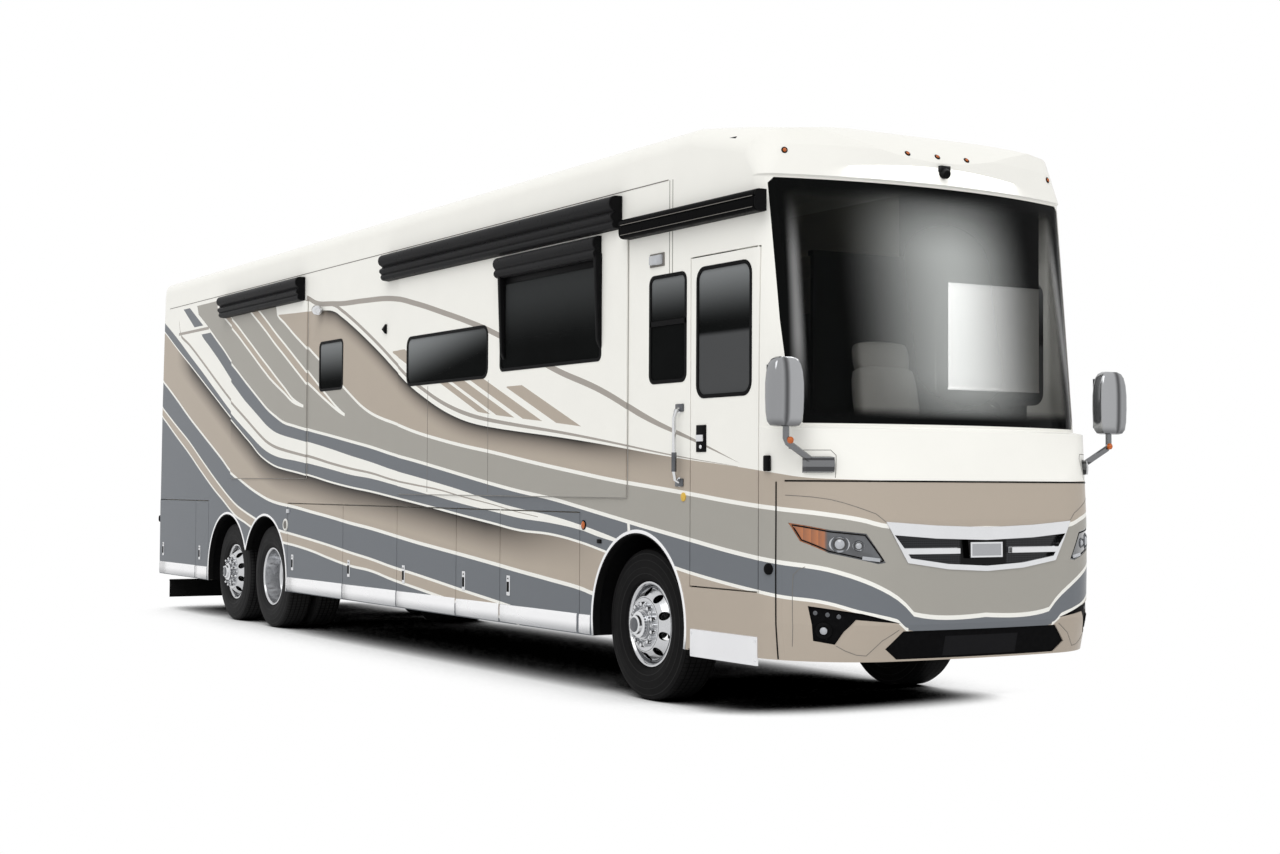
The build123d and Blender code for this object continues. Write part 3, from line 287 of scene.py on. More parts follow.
# Heights of the stripes' edges over the wrapped station: below 0 is the nose, beyond 13.69 the tail.
CREST = [(-1.4, 1.545), (-0.04, 1.552), (0.27, 1.564), (0.5, 1.587), (1.0, 1.636), (1.5, 1.678), (2.0, 1.727),
         (2.5, 1.782), (3.0, 1.833), (3.5, 1.879), (4.0, 1.921), (4.5, 1.967), (4.75, 1.995), (5.0, 2.033),
         (5.25, 2.086), (5.5, 2.152), (5.75, 2.233), (6.13, 2.372), (6.49, 2.54), (6.756, 2.67), (7.25, 2.893),
         (7.5, 2.998), (7.75, 3.095), (8.0, 3.175), (8.25, 3.2), (9.0, 3.23), (9.6, 3.25), (15.2, 3.25)]
TAN_END = [(-1.4, 1.25), (-0.478, 1.262), (-0.255, 1.301), (0.08, 1.337), (0.5, 1.366), (1.0, 1.404),
           (1.5, 1.451), (2.0, 1.496), (2.5, 1.54), (3.0, 1.593), (3.75, 1.677), (4.5, 1.769), (5.0, 1.824),
           (5.5, 1.888), (6.0, 1.962), (6.5, 2.055), (6.75, 2.098), (7.0, 2.152), (7.25, 2.23), (7.5, 2.335),
           (8.0, 2.565), (8.37, 2.735), (8.75, 2.905), (9.0, 3.016), (9.25, 3.137), (9.5, 3.257), (9.62, 3.56),
           (9.8, 3.62), (15.2, 3.62)]
GREY_END = [(-1.4, 0.705), (-0.7, 0.712), (-0.614, 0.78), (-0.543, 0.825), (-0.415, 0.882), (-0.256, 0.933),
            (-0.093, 0.971), (0.078, 1.0), (0.5, 1.033), (1.0, 1.082), (1.5, 1.144), (2.0, 1.207),
            (2.5, 1.273), (3.0, 1.34), (3.5, 1.405), (4.0, 1.455), (4.5, 1.514), (5.0, 1.579), (5.5, 1.645),
            (6.0, 1.71), (6.5, 1.771), (7.0, 1.843), (7.5, 1.905), (8.0, 1.967), (8.5, 2.026), (9.0, 2.091),
            (9.25, 2.126), (9.5, 2.195), (9.75, 2.277), (10.0, 2.386), (10.25, 2.5), (10.5, 2.615),
            (10.75, 2.735), (11.0, 2.848), (11.25, 2.985), (11.5, 3.11), (11.86, 3.29), (12.44, 3.552),
            (12.6, 3.62), (15.2, 3.62)]
SLATE_END = [(2.3, 1.08), (2.5, 1.127), (2.75, 1.171), (3.0, 1.21), (3.5, 1.275), (4.0, 1.319), (4.5, 1.376),
             (5.0, 1.45), (5.5, 1.514), (6.0, 1.574), (6.5, 1.633), (7.0, 1.705), (7.5, 1.77), (8.0, 1.84),
             (8.5, 1.905), (9.0, 1.963), (9.25, 1.993), (9.5, 2.033), (9.75, 2.102), (10.0, 2.202),
             (10.25, 2.305), (10.5, 2.408), (10.75, 2.529), (11.0, 2.65), (11.25, 2.79), (11.5, 2.924),
             (11.75, 3.05), (12.07, 3.215), (12.35, 3.62), (15.2, 3.62)]
THREAD = [(2.3, 1.1), (3.75, 1.265), (4.0, 1.288), (4.5, 1.348), (5.0, 1.40), (5.5, 1.46), (6.0, 1.50),
          (6.5, 1.543), (7.0, 1.605), (7.5, 1.649), (8.0, 1.702), (8.5, 1.765), (9.0, 1.819), (9.25, 1.847),
          (9.5, 1.881), (9.75, 1.935), (10.0, 2.021), (10.25, 2.121), (10.5, 2.222), (10.75, 2.32),
          (11.0, 2.422), (11.5, 2.65), (12.0, 2.887), (12.5, 3.115), (12.9, 3.28), (13.0, 3.62), (15.2, 3.62)]
SECOND_TOP = [(2.3, 1.08), (2.75, 1.133), (3.0, 1.173), (3.5, 1.218), (4.0, 1.245), (4.5, 1.293), (5.0, 1.34),
              (5.5, 1.395), (6.0, 1.448), (6.5, 1.502), (7.0, 1.555), (7.5, 1.591), (8.0, 1.644), (8.5, 1.695),
              (9.0, 1.742), (9.25, 1.76), (9.5, 1.788), (9.75, 1.835), (10.0, 1.909), (10.25, 2.004),
              (10.5, 2.1), (10.75, 2.197), (11.0, 2.301), (11.5, 2.534), (12.0, 2.771), (12.5, 2.999),
              (13.0, 3.231), (13.5, 3.445), (13.69, 3.52), (15.2, 3.52)]
SECOND_END = [(2.3, 0.97), (2.75, 1.044), (3.0, 1.082), (3.5, 1.133), (4.0, 1.15), (4.5, 1.198), (5.0, 1.245),
              (5.5, 1.295), (6.0, 1.343), (6.5, 1.39), (7.0, 1.436), (7.5, 1.474), (8.0, 1.521), (8.5, 1.579),
              (9.0, 1.63), (9.25, 1.653), (9.5, 1.684), (9.75, 1.737), (10.0, 1.812), (10.25, 1.922),
              (10.5, 2.024), (10.75, 2.127), (11.0, 2.231), (11.5, 2.452), (12.0, 2.673), (12.5, 2.894),
              (13.0, 3.11), (13.5, 3.335), (13.69, 3.41), (15.2, 3.41)]
SECOND_TAN_END = [(2.3, 0.69), (2.83, 0.718), (3.0, 0.744), (3.5, 0.789), (4.0, 0.831), (4.5, 0.876),
                  (5.0, 0.919), (5.5, 0.96), (6.0, 1.002), (6.5, 1.05), (7.0, 1.098), (7.5, 1.137),
                  (8.0, 1.184), (8.5, 1.226), (9.0, 1.27), (9.5, 1.305), (9.75, 1.335), (10.0, 1.381),
                  (10.25, 1.435), (10.5, 1.498), (10.75, 1.569), (11.0, 1.645), (11.25, 1.759), (11.5, 1.864),
                  (12.0, 2.069), (12.5, 2.278), (13.0, 2.506), (13.5, 2.72), (13.69, 2.79), (15.2, 2.79)]
TRIO_TOP = [(3.5, 0.48), (4.3, 0.562), (4.5, 0.581), (5.0, 0.626), (5.5, 0.674), (6.0, 0.721), (6.5, 0.764),
            (7.0, 0.817), (7.5, 0.86), (8.0, 0.908), (8.5, 0.951), (9.0, 0.991), (9.45, 1.026), (10.0, 1.1),
            (10.25, 1.149), (10.5, 1.2), (10.75, 1.26), (11.0, 1.343), (11.25, 1.441), (11.5, 1.545),
            (12.0, 1.767), (12.5, 1.994), (13.0, 2.19), (13.5, 2.394), (13.69, 2.47), (15.2, 2.47)]
TRIO_END = [(3.5, 0.38), (5.5, 0.557), (6.0, 0.605), (6.5, 0.652), (7.0, 0.71), (7.5, 0.736), (8.0, 0.785),
            (8.5, 0.843), (9.0, 0.885), (9.33, 0.905), (10.0, 0.99), (10.3, 1.042), (10.5, 1.088),
            (10.75, 1.138), (11.0, 1.224), (11.25, 1.324), (11.5, 1.417), (12.0, 1.631), (12.5, 1.859),
            (13.0, 2.069), (13.5, 2.285), (13.69, 2.36), (15.2, 2.36)]
FRONT_SLATE_END = [(-1.4, 0.60), (-0.637, 0.617), (-0.574, 0.669), (-0.415, 0.704), (-0.256, 0.731),
                   (0.078, 0.792), (0.456, 0.817), (0.75, 0.845), (1.0, 0.868), (1.5, 0.924), (1.7, 0.951),
                   (2.3, 1.02)]
SWEEP = [(0.9, 1.65), (1.42, 1.80), (2.0, 1.955), (2.755, 2.205), (3.42, 2.38), (4.44, 2.72), (4.98, 2.86),
         (5.42, 2.96), (6.0, 3.085), (6.53, 3.175), (7.25, 3.213), (7.75, 3.228), (8.0, 3.247), (8.4, 3.281),
         (8.65, 3.35), (9.2, 3.46), (9.6, 3.56), (9.9, 3.62), (15.2, 3.62)]
UPPER_STRIPE = [(7.665, 2.16), (7.75, 2.19), (8.165, 2.381), (8.5, 2.55), (9.0, 2.80), (9.25, 2.925),
                (9.54, 3.067), (9.84, 3.226), (10.4, 3.5), (10.6, 3.6)]
LOWER_STRIPE = [(8.71, 2.277), (9.0, 2.358), (9.25, 2.48), (9.5, 2.60), (9.75, 2.725), (10.0, 2.847),
                (10.25, 2.975), (10.5, 3.10), (10.75, 3.225), (11.35, 3.5), (11.5, 3.6)]
GREY_TOP = 3.557            # the gutter that the colours stop under
ARCH_BREAK = 2.31           # station where the colours change over the front arch
CREST_TAIL = 9.6            # station where the crest meets the gutter
BAR_LEAN = 0.36             # rise of the slanted bars over their run
# slanted bars: lower and upper edge at station 0, first and last station, top
BARS = ((0.389, 0.445, 4.2, 6.2, 2.385), (0.475, 0.56, 4.0, 6.2, 2.385), (0.6, 0.69, 3.6, 5.6, 2.385),
        (0.752, 0.856, 3.0, 4.235, 2.285), (0.335, 0.45, 6.2, 6.53, 2.70))
# stripes in the grey field: curve, width, first and last station
FIELD_STRIPES = ((UPPER_STRIPE, 0.12, 7.665, 10.5), (LOWER_STRIPE, 0.1, 8.71, 11.5))


def slanted(station, z, start, end):
    """1 on the tailward side of the line from start to end, both (station, z), start being the higher."""
    slope = (end[0] - start[0]) / (end[1] - start[1])
    return station > (z - start[1]).fit(slope, start[0])


def livery(graph):
    """The painted stripes as a function of place alone."""
    x, y, z = graph.axes()
    station = y + HALF_LENGTH
    towards = (station < HALF_LENGTH).fit(-2.0, 1.0)
    wrapped = (HALF - abs(x)).math("MULTIPLY_ADD", towards, station)

    def at(points):
        return curve(wrapped, points, WRAP_START, WRAP_END, CURVE_TOP)

    def pin(height, half_width, *where):
        """Where a white line centred on an edge lies."""
        on = band(z - height, -half_width, half_width)
        for part in where:
            on = on * part
        return on, WHITE

    def shadow(edge, depth, power, fade, where):
        """Where an airbrushed shadow under an edge lies."""
        return fade * ramp(z - edge, -depth, 0.0) ** power * where, NEAR_BLACK

    behind = wrapped > ARCH_BREAK
    ahead = 1.0 - behind
    crest, tan_end, grey_end, sweep = at(CREST), at(TAN_END), at(GREY_END), at(SWEEP)
    over_crest, under_crest = z - crest, z < crest
    lean = z - wrapped * BAR_LEAN
    bars = [(band(lean, low, high) * band(wrapped, first, last) * (z < top) * (over_crest > 0.105), TAN)
            for low, high, first, last, top in BARS]
    spread = ramp(wrapped, 0.93, 5.0)
    crest_line = ((over_crest > spread * 0.046) * (over_crest < spread.fit(0.079, 0.002))
                  * band(wrapped, 0.93, 8.1))
    sweep_line = near(z, sweep, ramp(wrapped, 0.9, 2.2) * 0.024) * (wrapped < 8.7)
    field = (z < tan_end) * (z < GREY_TOP) * ((wrapped < 9.5) | (z < sweep))
    colour = layered(
        WHITE, *bars, (crest_line, TAUPE_LINE), (sweep_line, TAUPE_LINE),
        (under_crest * (wrapped < CREST_TAIL), TAN),
        shadow(crest, 0.20, 1.9, ramp(wrapped, 1.5, 3.0) * ramp(wrapped, 8.5, 8.1), under_crest),
        (field, WARM_GREY))
    for points, width, first, last in FIELD_STRIPES:
        under = at(points) - z
        width = ramp(wrapped, first, first + 1.0) * width
        run = band(wrapped, first, last)
        colour = layered(
            colour, ((under > -0.014) * (under < width + 0.014) * run * (z < 3.5), WHITE),
            ((under > 0.014) * (under < width - 0.014) * run * (z < 3.48), TAN))
    slate_end, second_end, second_tan_end = at(SLATE_END), at(SECOND_END), at(SECOND_TAN_END)
    trio_top, trio_end, front_end = at(TRIO_TOP), at(TRIO_END), at(FRONT_SLATE_END)
    top_bar = (band(z, 3.315, 3.555) * slanted(wrapped, z, (12.52, 3.555), (12.02, 3.32))
               * (1.0 - slanted(wrapped, z, (12.76, 3.555), (12.33, 3.315))))
    thread = near(z, at(THREAD), ramp(wrapped, 4.0, 10.0).fit(0.0135, 0.003)) * band(wrapped, 3.7, 12.93)
    under_second = behind * (z < second_end - 0.009)
    trio_run = wrapped > 4.0
    divider = near(wrapped, (z - 1.15).fit(0.12, ARCH_BREAK), 0.018) * (z < grey_end)
    return layered(
        colour, pin(tan_end, 0.014, wrapped < 9.62),
        # first slate band
        (z < grey_end, SLATE), pin(grey_end, 0.014, wrapped < 12.46),
        # white field behind the arch with its grey thread, plain white over the gutter
        (band(z, 3.215, GREY_TOP) * (z < grey_end) * (wrapped > 11.6), WHITE), (behind * (z < slate_end), WHITE),
        ((z > GREY_TOP) * (wrapped > 8.6), WHITE), (top_bar, SLATE),
        (band(z, 3.256, 3.288) * band(wrapped, 11.8, 12.93), TAUPE_LINE), (thread, TAUPE_LINE),
        # second slate band, second tan with its shadow
        (behind * (z < at(SECOND_TOP)), SLATE), pin(second_end, 0.009, behind), (under_second, TAN),
        shadow(second_end, 0.27, 1.25, ramp(wrapped, 2.6, 4.6) * ramp(wrapped, 13.0, 12.4), under_second),
        # slate below, and the three thin lines across it
        (behind * (z < second_tan_end), SLATE), pin(second_tan_end, 0.015, behind),
        ((z < trio_top) * (z > trio_end) * trio_run, TAN), pin(trio_top, 0.012, trio_run),
        pin(trio_end, 0.012, trio_run),
        # ahead of the front arch
        (ahead * (z < front_end), TAN), pin(front_end, 0.011, ahead, wrapped > -0.64), (divider, WHITE))


LINING = (1.262, 1.0, 13.42, 3.785)   # inside this x, between these stations, under this height
CABIN_END = 2.45


def painted(graph):
    """The livery outside, plain moulded white on the inner faces of walls, rooms and doors, dark grey painted
    shade on those inside the cab.
    """
    x, y, z = graph.axes()
    station = y + HALF_LENGTH
    reach, first, last, top = LINING
    inner = (abs(x) < reach) * band(station, first, last) * (z < top)
    outside = mix(graph.noise(3.0, 3.0) * 0.05, livery(graph), rgb(120, 116, 112))
    return mix(inner, outside, mix(station < CABIN_END, INNER, CAB_PAINTED_SHADE))


def case_colour(graph):
    """Black over the door, charcoal on the rooms."""
    base = mix(graph.axes()[1] > y_of(2.4), grey(11, 1), grey(48, 1))
    return mix(graph.noise(4.0, 4.0, (1.0, 0.3, 8.0)) * 0.4, base, BLACK)


def lens_colour(graph):
    """Amber ahead, red on the tail."""
    return mix(graph.axes()[1] > 4.0, rgb(214, 96, 24), rgb(170, 18, 16))


# ---------------------------------------------------------------- looks that differ by place
FRONT_AXLE, DRIVE_AXLE, TAG_AXLE = 2.194, 9.855, 11.059
AXLE_HEIGHT = 0.533
TREAD_RADIUS = 0.522
TREAD_PITCH = 0.046
TREAD_BLOCKS = 96
TYRE_LINES = ((0.352, 0.358), (0.395, 0.398), (0.448, 0.452), (0.492, 0.498))
RIM_LINES = ((0.255, 0.259), (0.186, 0.190), (0.112, 0.117))
HAND_HOLES = 10
HAND_HOLE_CIRCLE = 0.226
HAND_HOLE_RADIUS = 0.030


def off_axle(graph):
    """Station and height from the middle of the nearest wheel, and the distance from it."""
    x, y, z = graph.axes()
    station = y + HALF_LENGTH
    middle = (station > 6.0).fit(DRIVE_AXLE - FRONT_AXLE, FRONT_AXLE)
    middle = (station > (DRIVE_AXLE + TAG_AXLE) / 2).math("MULTIPLY_ADD", TAG_AXLE - DRIVE_AXLE, middle)
    along, up = station - middle, z - AXLE_HEIGHT
    return along, up, distance(along, up)


def tyre_relief(graph):
    """Raised lines on the wall, grooves in the tread."""
    along, up, radius = off_axle(graph)
    lines = [band(radius, *line) for line in TYRE_LINES]
    raised = lines[0] + lines[1] + lines[2] + lines[3]
    turn = up.math("ARCTAN2", along)
    grooves = (graph.axes()[0] % TREAD_PITCH < 0.2) | (turn % (FULL_TURN / TREAD_BLOCKS) < 0.16)
    return raised * 0.5 - (radius > TREAD_RADIUS) * grooves


def tyre_colour(graph):
    relief = tyre_relief(graph)
    base = mix(graph.noise(9.0, 4.0) * 0.4, grey(22, 1), rgb(36, 35, 34))
    # painted light: the tyres of the rear axles are made lighter; painted highlights on the raised wall lines,
    # painted shade in the tread grooves
    return layered(base, ((graph.axes()[1] > 0.0) * 0.15, grey(84, 1)), ((relief | 0.0) * 0.7, grey(62)),
                   ((relief * -1.0 | 0.0) * 0.8, grey(5)))


def rim_colour(graph):
    along, up, radius = off_axle(graph)
    pitch = FULL_TURN / HAND_HOLES
    turn = (along.math("ARCTAN2", up) / pitch + (0.5 + HAND_HOLES)) % 1
    out = distance((turn - 0.5) * pitch * radius, radius - HAND_HOLE_CIRCLE)
    clean = mix(graph.noise(9.0, 4.0) * 0.14, rgb(206, 207, 209), rgb(130, 131, 133))
    # near-black painted shade where the hand holes are
    return layered(clean, *((band(radius, *line), rgb(96, 97, 99)) for line in RIM_LINES),
                   (out < HAND_HOLE_RADIUS, grey(14, 1)))


# The windscreen: dark border, a grey painted reflection that fades towards the edges, a soft painted reflection
# line near each end.
SCREEN_REFLECTION = rgb(196, 199, 197)
REFLECTION_MIDDLE = 0.04
REFLECTION_REACH = (0.87, 0.78)     # towards the right and the left side of the coach
SCREEN_FOOT = 1.9


def screen_clear(graph):
    """How far a place is inside the screen's dark border."""
    x, y, z = graph.axes()
    edge = (z - SCREEN_FOOT).fit(0.05, 1.16)
    return round_step(edge - abs(x), 0.03, 0.16) * round_step(z, 1.93, 2.02) * round_step(z, 3.47, 3.34)


def screen_colour(graph):
    x, y, z = graph.axes()
    centre = x - REFLECTION_MIDDLE
    reach = (centre > 0.0).fit(REFLECTION_REACH[1] - REFLECTION_REACH[0], REFLECTION_REACH[0])
    height = round_step(z, 3.55, 2.98) * round_step(z, SCREEN_FOOT, 2.25).fit(0.6, 0.4)
    painted_light = round_step(abs(centre) / reach, 1.0, 0.0) * height * screen_clear(graph)
    aside = abs(abs(x) - (z - SCREEN_FOOT).fit(-0.03, 1.135))
    line = round_step(aside, 0.055, 0.0) * round_step(z, 1.98, 2.5) * round_step(z, 3.4, 2.9)
    # the grey patch and the light lines are painted reflections on the glass
    return layered(rgb(9, 10, 10), (painted_light, SCREEN_REFLECTION), (line * 0.8, grey(150)))


def screen_cover(graph):
    """How much of the view through the screen its film hides."""
    return screen_clear(graph).fit(-0.5, 1.0)


def window_colour(graph):
    """Dark film with a painted reflection of the studio, lighter towards the top of each pane."""
    x, y, z = graph.axes()
    long_pane = band(y, -2.3, -0.6)
    top = long_pane.fit(-0.13, 2.97)
    top = band(y, -5.35, -4.7).math("MULTIPLY_ADD", 0.06, top)
    top = (y > 0.6).math("MULTIPLY_ADD", -0.09, top)
    slope = (y + 1.375) * 0.16 * long_pane
    light = round_step(top - z - slope, 0.42, -0.06) ** 1.15
    large = (x < -1.286) * band(y, -4.3, -2.4)
    curtain = (y < y_of(1.5)) * round_step(z, 2.53, 2.49)
    tint = mix(graph.noise(2.0, 3.0) * 0.4, rgb(15, 16, 16), rgb(34, 35, 35))
    return layered(tint, (light * large.fit(-0.82, 0.95), rgb(140, 143, 144)), (curtain * 0.8, rgb(86, 87, 88)))


MIRROR_FOOT_TOP = 1.70
MIRROR_HEAD_FOOT = 1.873


def mirror_colour(graph):
    """Bright chrome head with a painted dark reflection band upright on it, painted shade at its lower edge, a
    painted reflection darker towards the outer side; a darker arm, dark bands on the foot.
    """
    x, y, z = graph.axes()
    away = abs(x)
    reflection_band = round_step(abs(away - 1.385), 0.035, 0.0)
    dark = (z > MIRROR_HEAD_FOOT) * (reflection_band * 0.85 | round_step(z, 1.93, 1.88) * 0.6)
    foot = (z < MIRROR_FOOT_TOP) * (band(z, 1.60, 1.628) | band(z, 1.668, 1.682))
    base = mix(graph.noise(6.0, 2.0) * 0.1, rgb(166, 167, 169), rgb(116, 117, 119))
    # painted reflection: darker towards the outer side and in the upright band; painted shade at the lower edge of
    # the head
    return layered(base, (round_step(away, 1.36, 1.44) * 0.45, rgb(120, 121, 123)),
                   ((z < MIRROR_HEAD_FOOT) * 0.8, rgb(104, 105, 107)), (dark | foot * 0.8, grey(52, 2)))


# Headlamp: smoked housing, amber outer part, two ring lenses at x and z with their radius.
LENSES = ((1.022, 1.150, 0.050), (0.925, 1.140, 0.032))


def headlamp_colour(graph):
    x, y, z = graph.axes()
    away = abs(x)
    base = mix(graph.noise(14.0, 3.0), rgb(30, 31, 34), rgb(92, 95, 100))
    amber_cells = mix((away * 34.0).math("FRACT") * 0.5, rgb(184, 104, 40), rgb(84, 42, 16))
    base = mix(round_step(away, 1.075, 1.10) * 0.9, base, amber_cells)
    for lens_x, lens_z, radius in LENSES:
        out = distance(away - lens_x, z - lens_z)
        base = layered(base, (out < radius, grey(18, 2)), (band(out, radius * 0.78, radius), rgb(190, 192, 196)),
                       (out < radius * 0.42, rgb(206, 210, 216)))
    return base


# Grille: bright surround, a mouth painted dark as painted shade behind a woven screen, bright bars and a bare
# plate.
MOUTH_TOP = [(0.0, 1.172), (0.4, 1.184), (0.708, 1.207), (0.8, 1.207)]
MOUTH_BOTTOM = [(0.0, 1.008), (0.31, 1.024), (0.59, 1.062), (0.65, 1.138), (0.708, 1.207), (0.8, 1.3)]
MOUTH_SPAN = (0.0, 0.8, 1.4)
MESH_PITCH = 70.0


def grille_colour(graph):
    x, y, z = graph.axes()
    away = abs(x)
    mouth = ((z < curve(away, MOUTH_TOP, *MOUTH_SPAN, straight=True))
             * (z > curve(away, MOUTH_BOTTOM, *MOUTH_SPAN, straight=True)))
    bars = band(z, 1.086, 1.124) * band(away, 0.213, 0.692)
    plate = (away < 0.132) * band(z, 1.062, 1.158)
    rim = plate * ((away > 0.120) | ((z < 1.072) | (z > 1.148)))
    mesh = ((away * MESH_PITCH) % 1 < 0.35) | ((z * MESH_PITCH) % 1 < 0.35)
    # painted shade in the mouth: near-black behind the lighter woven screen, plain near-black in the middle
    shaded_mouth_colour = mix(away < 0.19, mix(mesh * 0.8, grey(8, 1), rgb(62, 63, 66)), grey(10, 1))
    bright = mix(graph.noise(6.0, 3.0) * 0.15, rgb(226, 227, 229), rgb(160, 161, 163))
    return layered(bright, (plate * 0.6, rgb(110, 112, 116)), (rim, rgb(222, 223, 225)),
                   (mouth * (1.0 - bars) * (1.0 - plate), shaded_mouth_colour))


def insert_colour(graph):
    x, y, z = graph.axes()
    base = mix(graph.noise(30.0, 3.0), grey(11, 1), grey(21, 1))
    return mix(band(x, -0.30, 0.30) * band(z, 0.445, 0.57) * 0.5, base, grey(40, 2))


def strip_colour(graph):
    """Bright trim, greyer towards the lower edge of the strip along the doors."""
    base = mix(graph.noise(5.0, 3.0) * 0.1, grey(246, 1), grey(200, 2))
    return mix(round_step(graph.axes()[2], 0.50, 0.418) * 0.75, base, rgb(142, 144, 147))


VISOR_STATION = 0.800
VISOR_X = (0.355, 1.175)
VISOR_Z = (2.185, 2.912)


def visor_light(graph):
    """Painted light: the visor's emission, strongest at its inner end, fading towards its outer end."""
    return (ramp(graph.axes()[0], VISOR_X[1], VISOR_X[0]) ** 1.3).fit(1.9, 0.02)


# ---------------------------------------------------------------- materials
MATT = {"Specular_IOR_Level": 0.03}
SOFT_MATT = {"Specular_IOR_Level": 0.04}
FINE_BUMPS = (200.0, 0.0004)
LENS_ROUGH = (0.08, 0.16, 60.0)
PLASTIC_ROUGH = (0.3, 0.45, 30.0)

coach_paint = surface("coach_paint", painted, lambda graph: graph.noise(40.0, 2.0).fit(0.08, 0.2),
                      lambda graph: graph.bump(graph.noise(9.0, 1.0), 0.002, 0.05), **MATT)
awning_case = surface("awning_case", case_colour, rough(0.24, 0.34, 30.0), bumpy(200.0, 0.0003, 0.2),
                      Specular_IOR_Level=0.05, IOR=1.2)
tyre_rubber = surface("tyre_rubber", tyre_colour, rough(0.5, 0.65, 25.0),
                      lambda graph: graph.bump(tyre_relief(graph), 0.004, 0.8), **MATT)
rim_metal = surface("rim_metal", rim_colour, rough(0.12, 0.26, 30.0), bumpy(25.0, 0.0006, 0.3), Metallic=0.85)
screen_tint = surface("screen_glass", screen_colour, rough(0.05, 0.08, 6.0), Alpha=screen_cover, **MATT)
side_tint = surface("side_glass", window_colour, rough(0.04, 0.07, 6.0), IOR=1.06, Alpha=0.97, **MATT)
mirror_chrome = surface("mirror_chrome", mirror_colour, rough(0.1, 0.2, 12.0), Metallic=0.8)
headlamp_glass = surface("headlamp_glass", headlamp_colour, rough(0.06, 0.12, 20.0), Coat_Weight=0.8,
                         Specular_IOR_Level=0.6)
grille_chrome = surface("grille_chrome", grille_colour, rough(0.12, 0.22, 12.0), Metallic=0.75)
insert_plastic = surface("insert_plastic", insert_colour, rough(0.4, 0.55, 60.0), bumpy(400.0, 0.0006), IOR=1.2,
                         **MATT)
bright_strip = surface("bright_strip", strip_colour, rough(0.12, 0.24, 20.0), Metallic=0.7)
lamp_lens = surface("lamp_lens", lens_colour, rough(*LENS_ROUGH), bumpy(260.0, 0.001), Coat_Weight=0.5)
leather = surface("seat_leather", varied(rgb(226, 224, 219), 10.0, 0.2), rough(0.4, 0.55, 30.0),
                  lambda graph: graph.bump(graph.cells(260.0), 0.0015, 0.5))
# the visor's emission is painted light; the visor is no lamp
visor = surface("visor", varied(rgb(232, 231, 228), 5.0, 0.1), rough(0.6, 0.7, 20.0), bumpy(300.0, 0.0006),
                Emission_Color=(1.0, 1.0, 0.99, 1.0), Emission_Strength=visor_light)

black_plastic = plain("black_plastic", grey(20, 1), (30.0, 0.5), (0.35, 0.55, 60.0), (400.0, 0.0006), **MATT)
chrome = plain("chrome", rgb(222, 223, 225), (6.0, 0.12), (0.1, 0.22, 12.0), Metallic=1.0)
dark_chrome = plain("dark_chrome", rgb(104, 106, 110), (20.0, 0.5, rgb(40, 41, 43)), (0.14, 0.26, 12.0),
                    Metallic=0.8)
steel_frame = plain("steel_frame", grey(38, 2), (7.0, 0.6), (0.5, 0.75, 20.0), (60.0, 0.002), Metallic=0.3)
engine_iron = plain("engine_iron", grey(70, 2), (5.0, 0.6), (0.5, 0.7, 20.0), (30.0, 0.004), Metallic=0.5)
inner_panel = plain("inner_panel", INNER, (8.0, 0.12), (0.5, 0.65, 20.0), (150.0, 0.001))
roof_plastic = plain("roof_plastic", rgb(228, 227, 222), (6.0, 0.1), (0.4, 0.55, 20.0), (120.0, 0.001))
wood = plain("partition_wood", grey(17), (3.0, 0.6, grey(9), (6.0, 1.0, 0.6)), (0.3, 0.45, 10.0), Coat_Weight=0.3)
amber = plain("amber_lens", rgb(226, 112, 20), (60.0, 0.3), LENS_ROUGH, (300.0, 0.001), Transmission_Weight=0.3)
red_lens = plain("red_lens", rgb(150, 16, 14), (40.0, 0.4), LENS_ROUGH, (260.0, 0.001), Coat_Weight=0.5)
clear_lens = plain("clear_lens", rgb(188, 191, 196), (20.0, 0.4, rgb(70, 72, 76)), (0.06, 0.12, 20.0),
                   Coat_Weight=0.6)
step_steel = plain("step_steel", grey(238, 2), (3.0, 0.35, rgb(196, 197, 200), (1.0, 1.0, 0.6)),
                   (0.18, 0.3, 20.0), (300.0, 0.0004, 0.3), Metallic=0.6)
seal_grey = plain("seal_grey", rgb(176, 173, 168), (14.0, 0.2), (0.5, 0.65, 30.0), FINE_BUMPS, **SOFT_MATT)
seam_rubber = plain("seam_rubber", grey(22), (14.0, 0.4), (0.6, 0.75, 30.0), (200.0, 0.0006), **SOFT_MATT)
line_grey = plain("line_grey", rgb(132, 129, 124), (14.0, 0.3), (0.5, 0.65, 30.0), FINE_BUMPS, **SOFT_MATT)
pale_plastic = plain("pale_plastic", rgb(232, 231, 226), (14.0, 0.12), PLASTIC_ROUGH, FINE_BUMPS)
yellow_plastic = plain("yellow_plastic", rgb(222, 180, 60), (14.0, 0.2), PLASTIC_ROUGH, FINE_BUMPS)

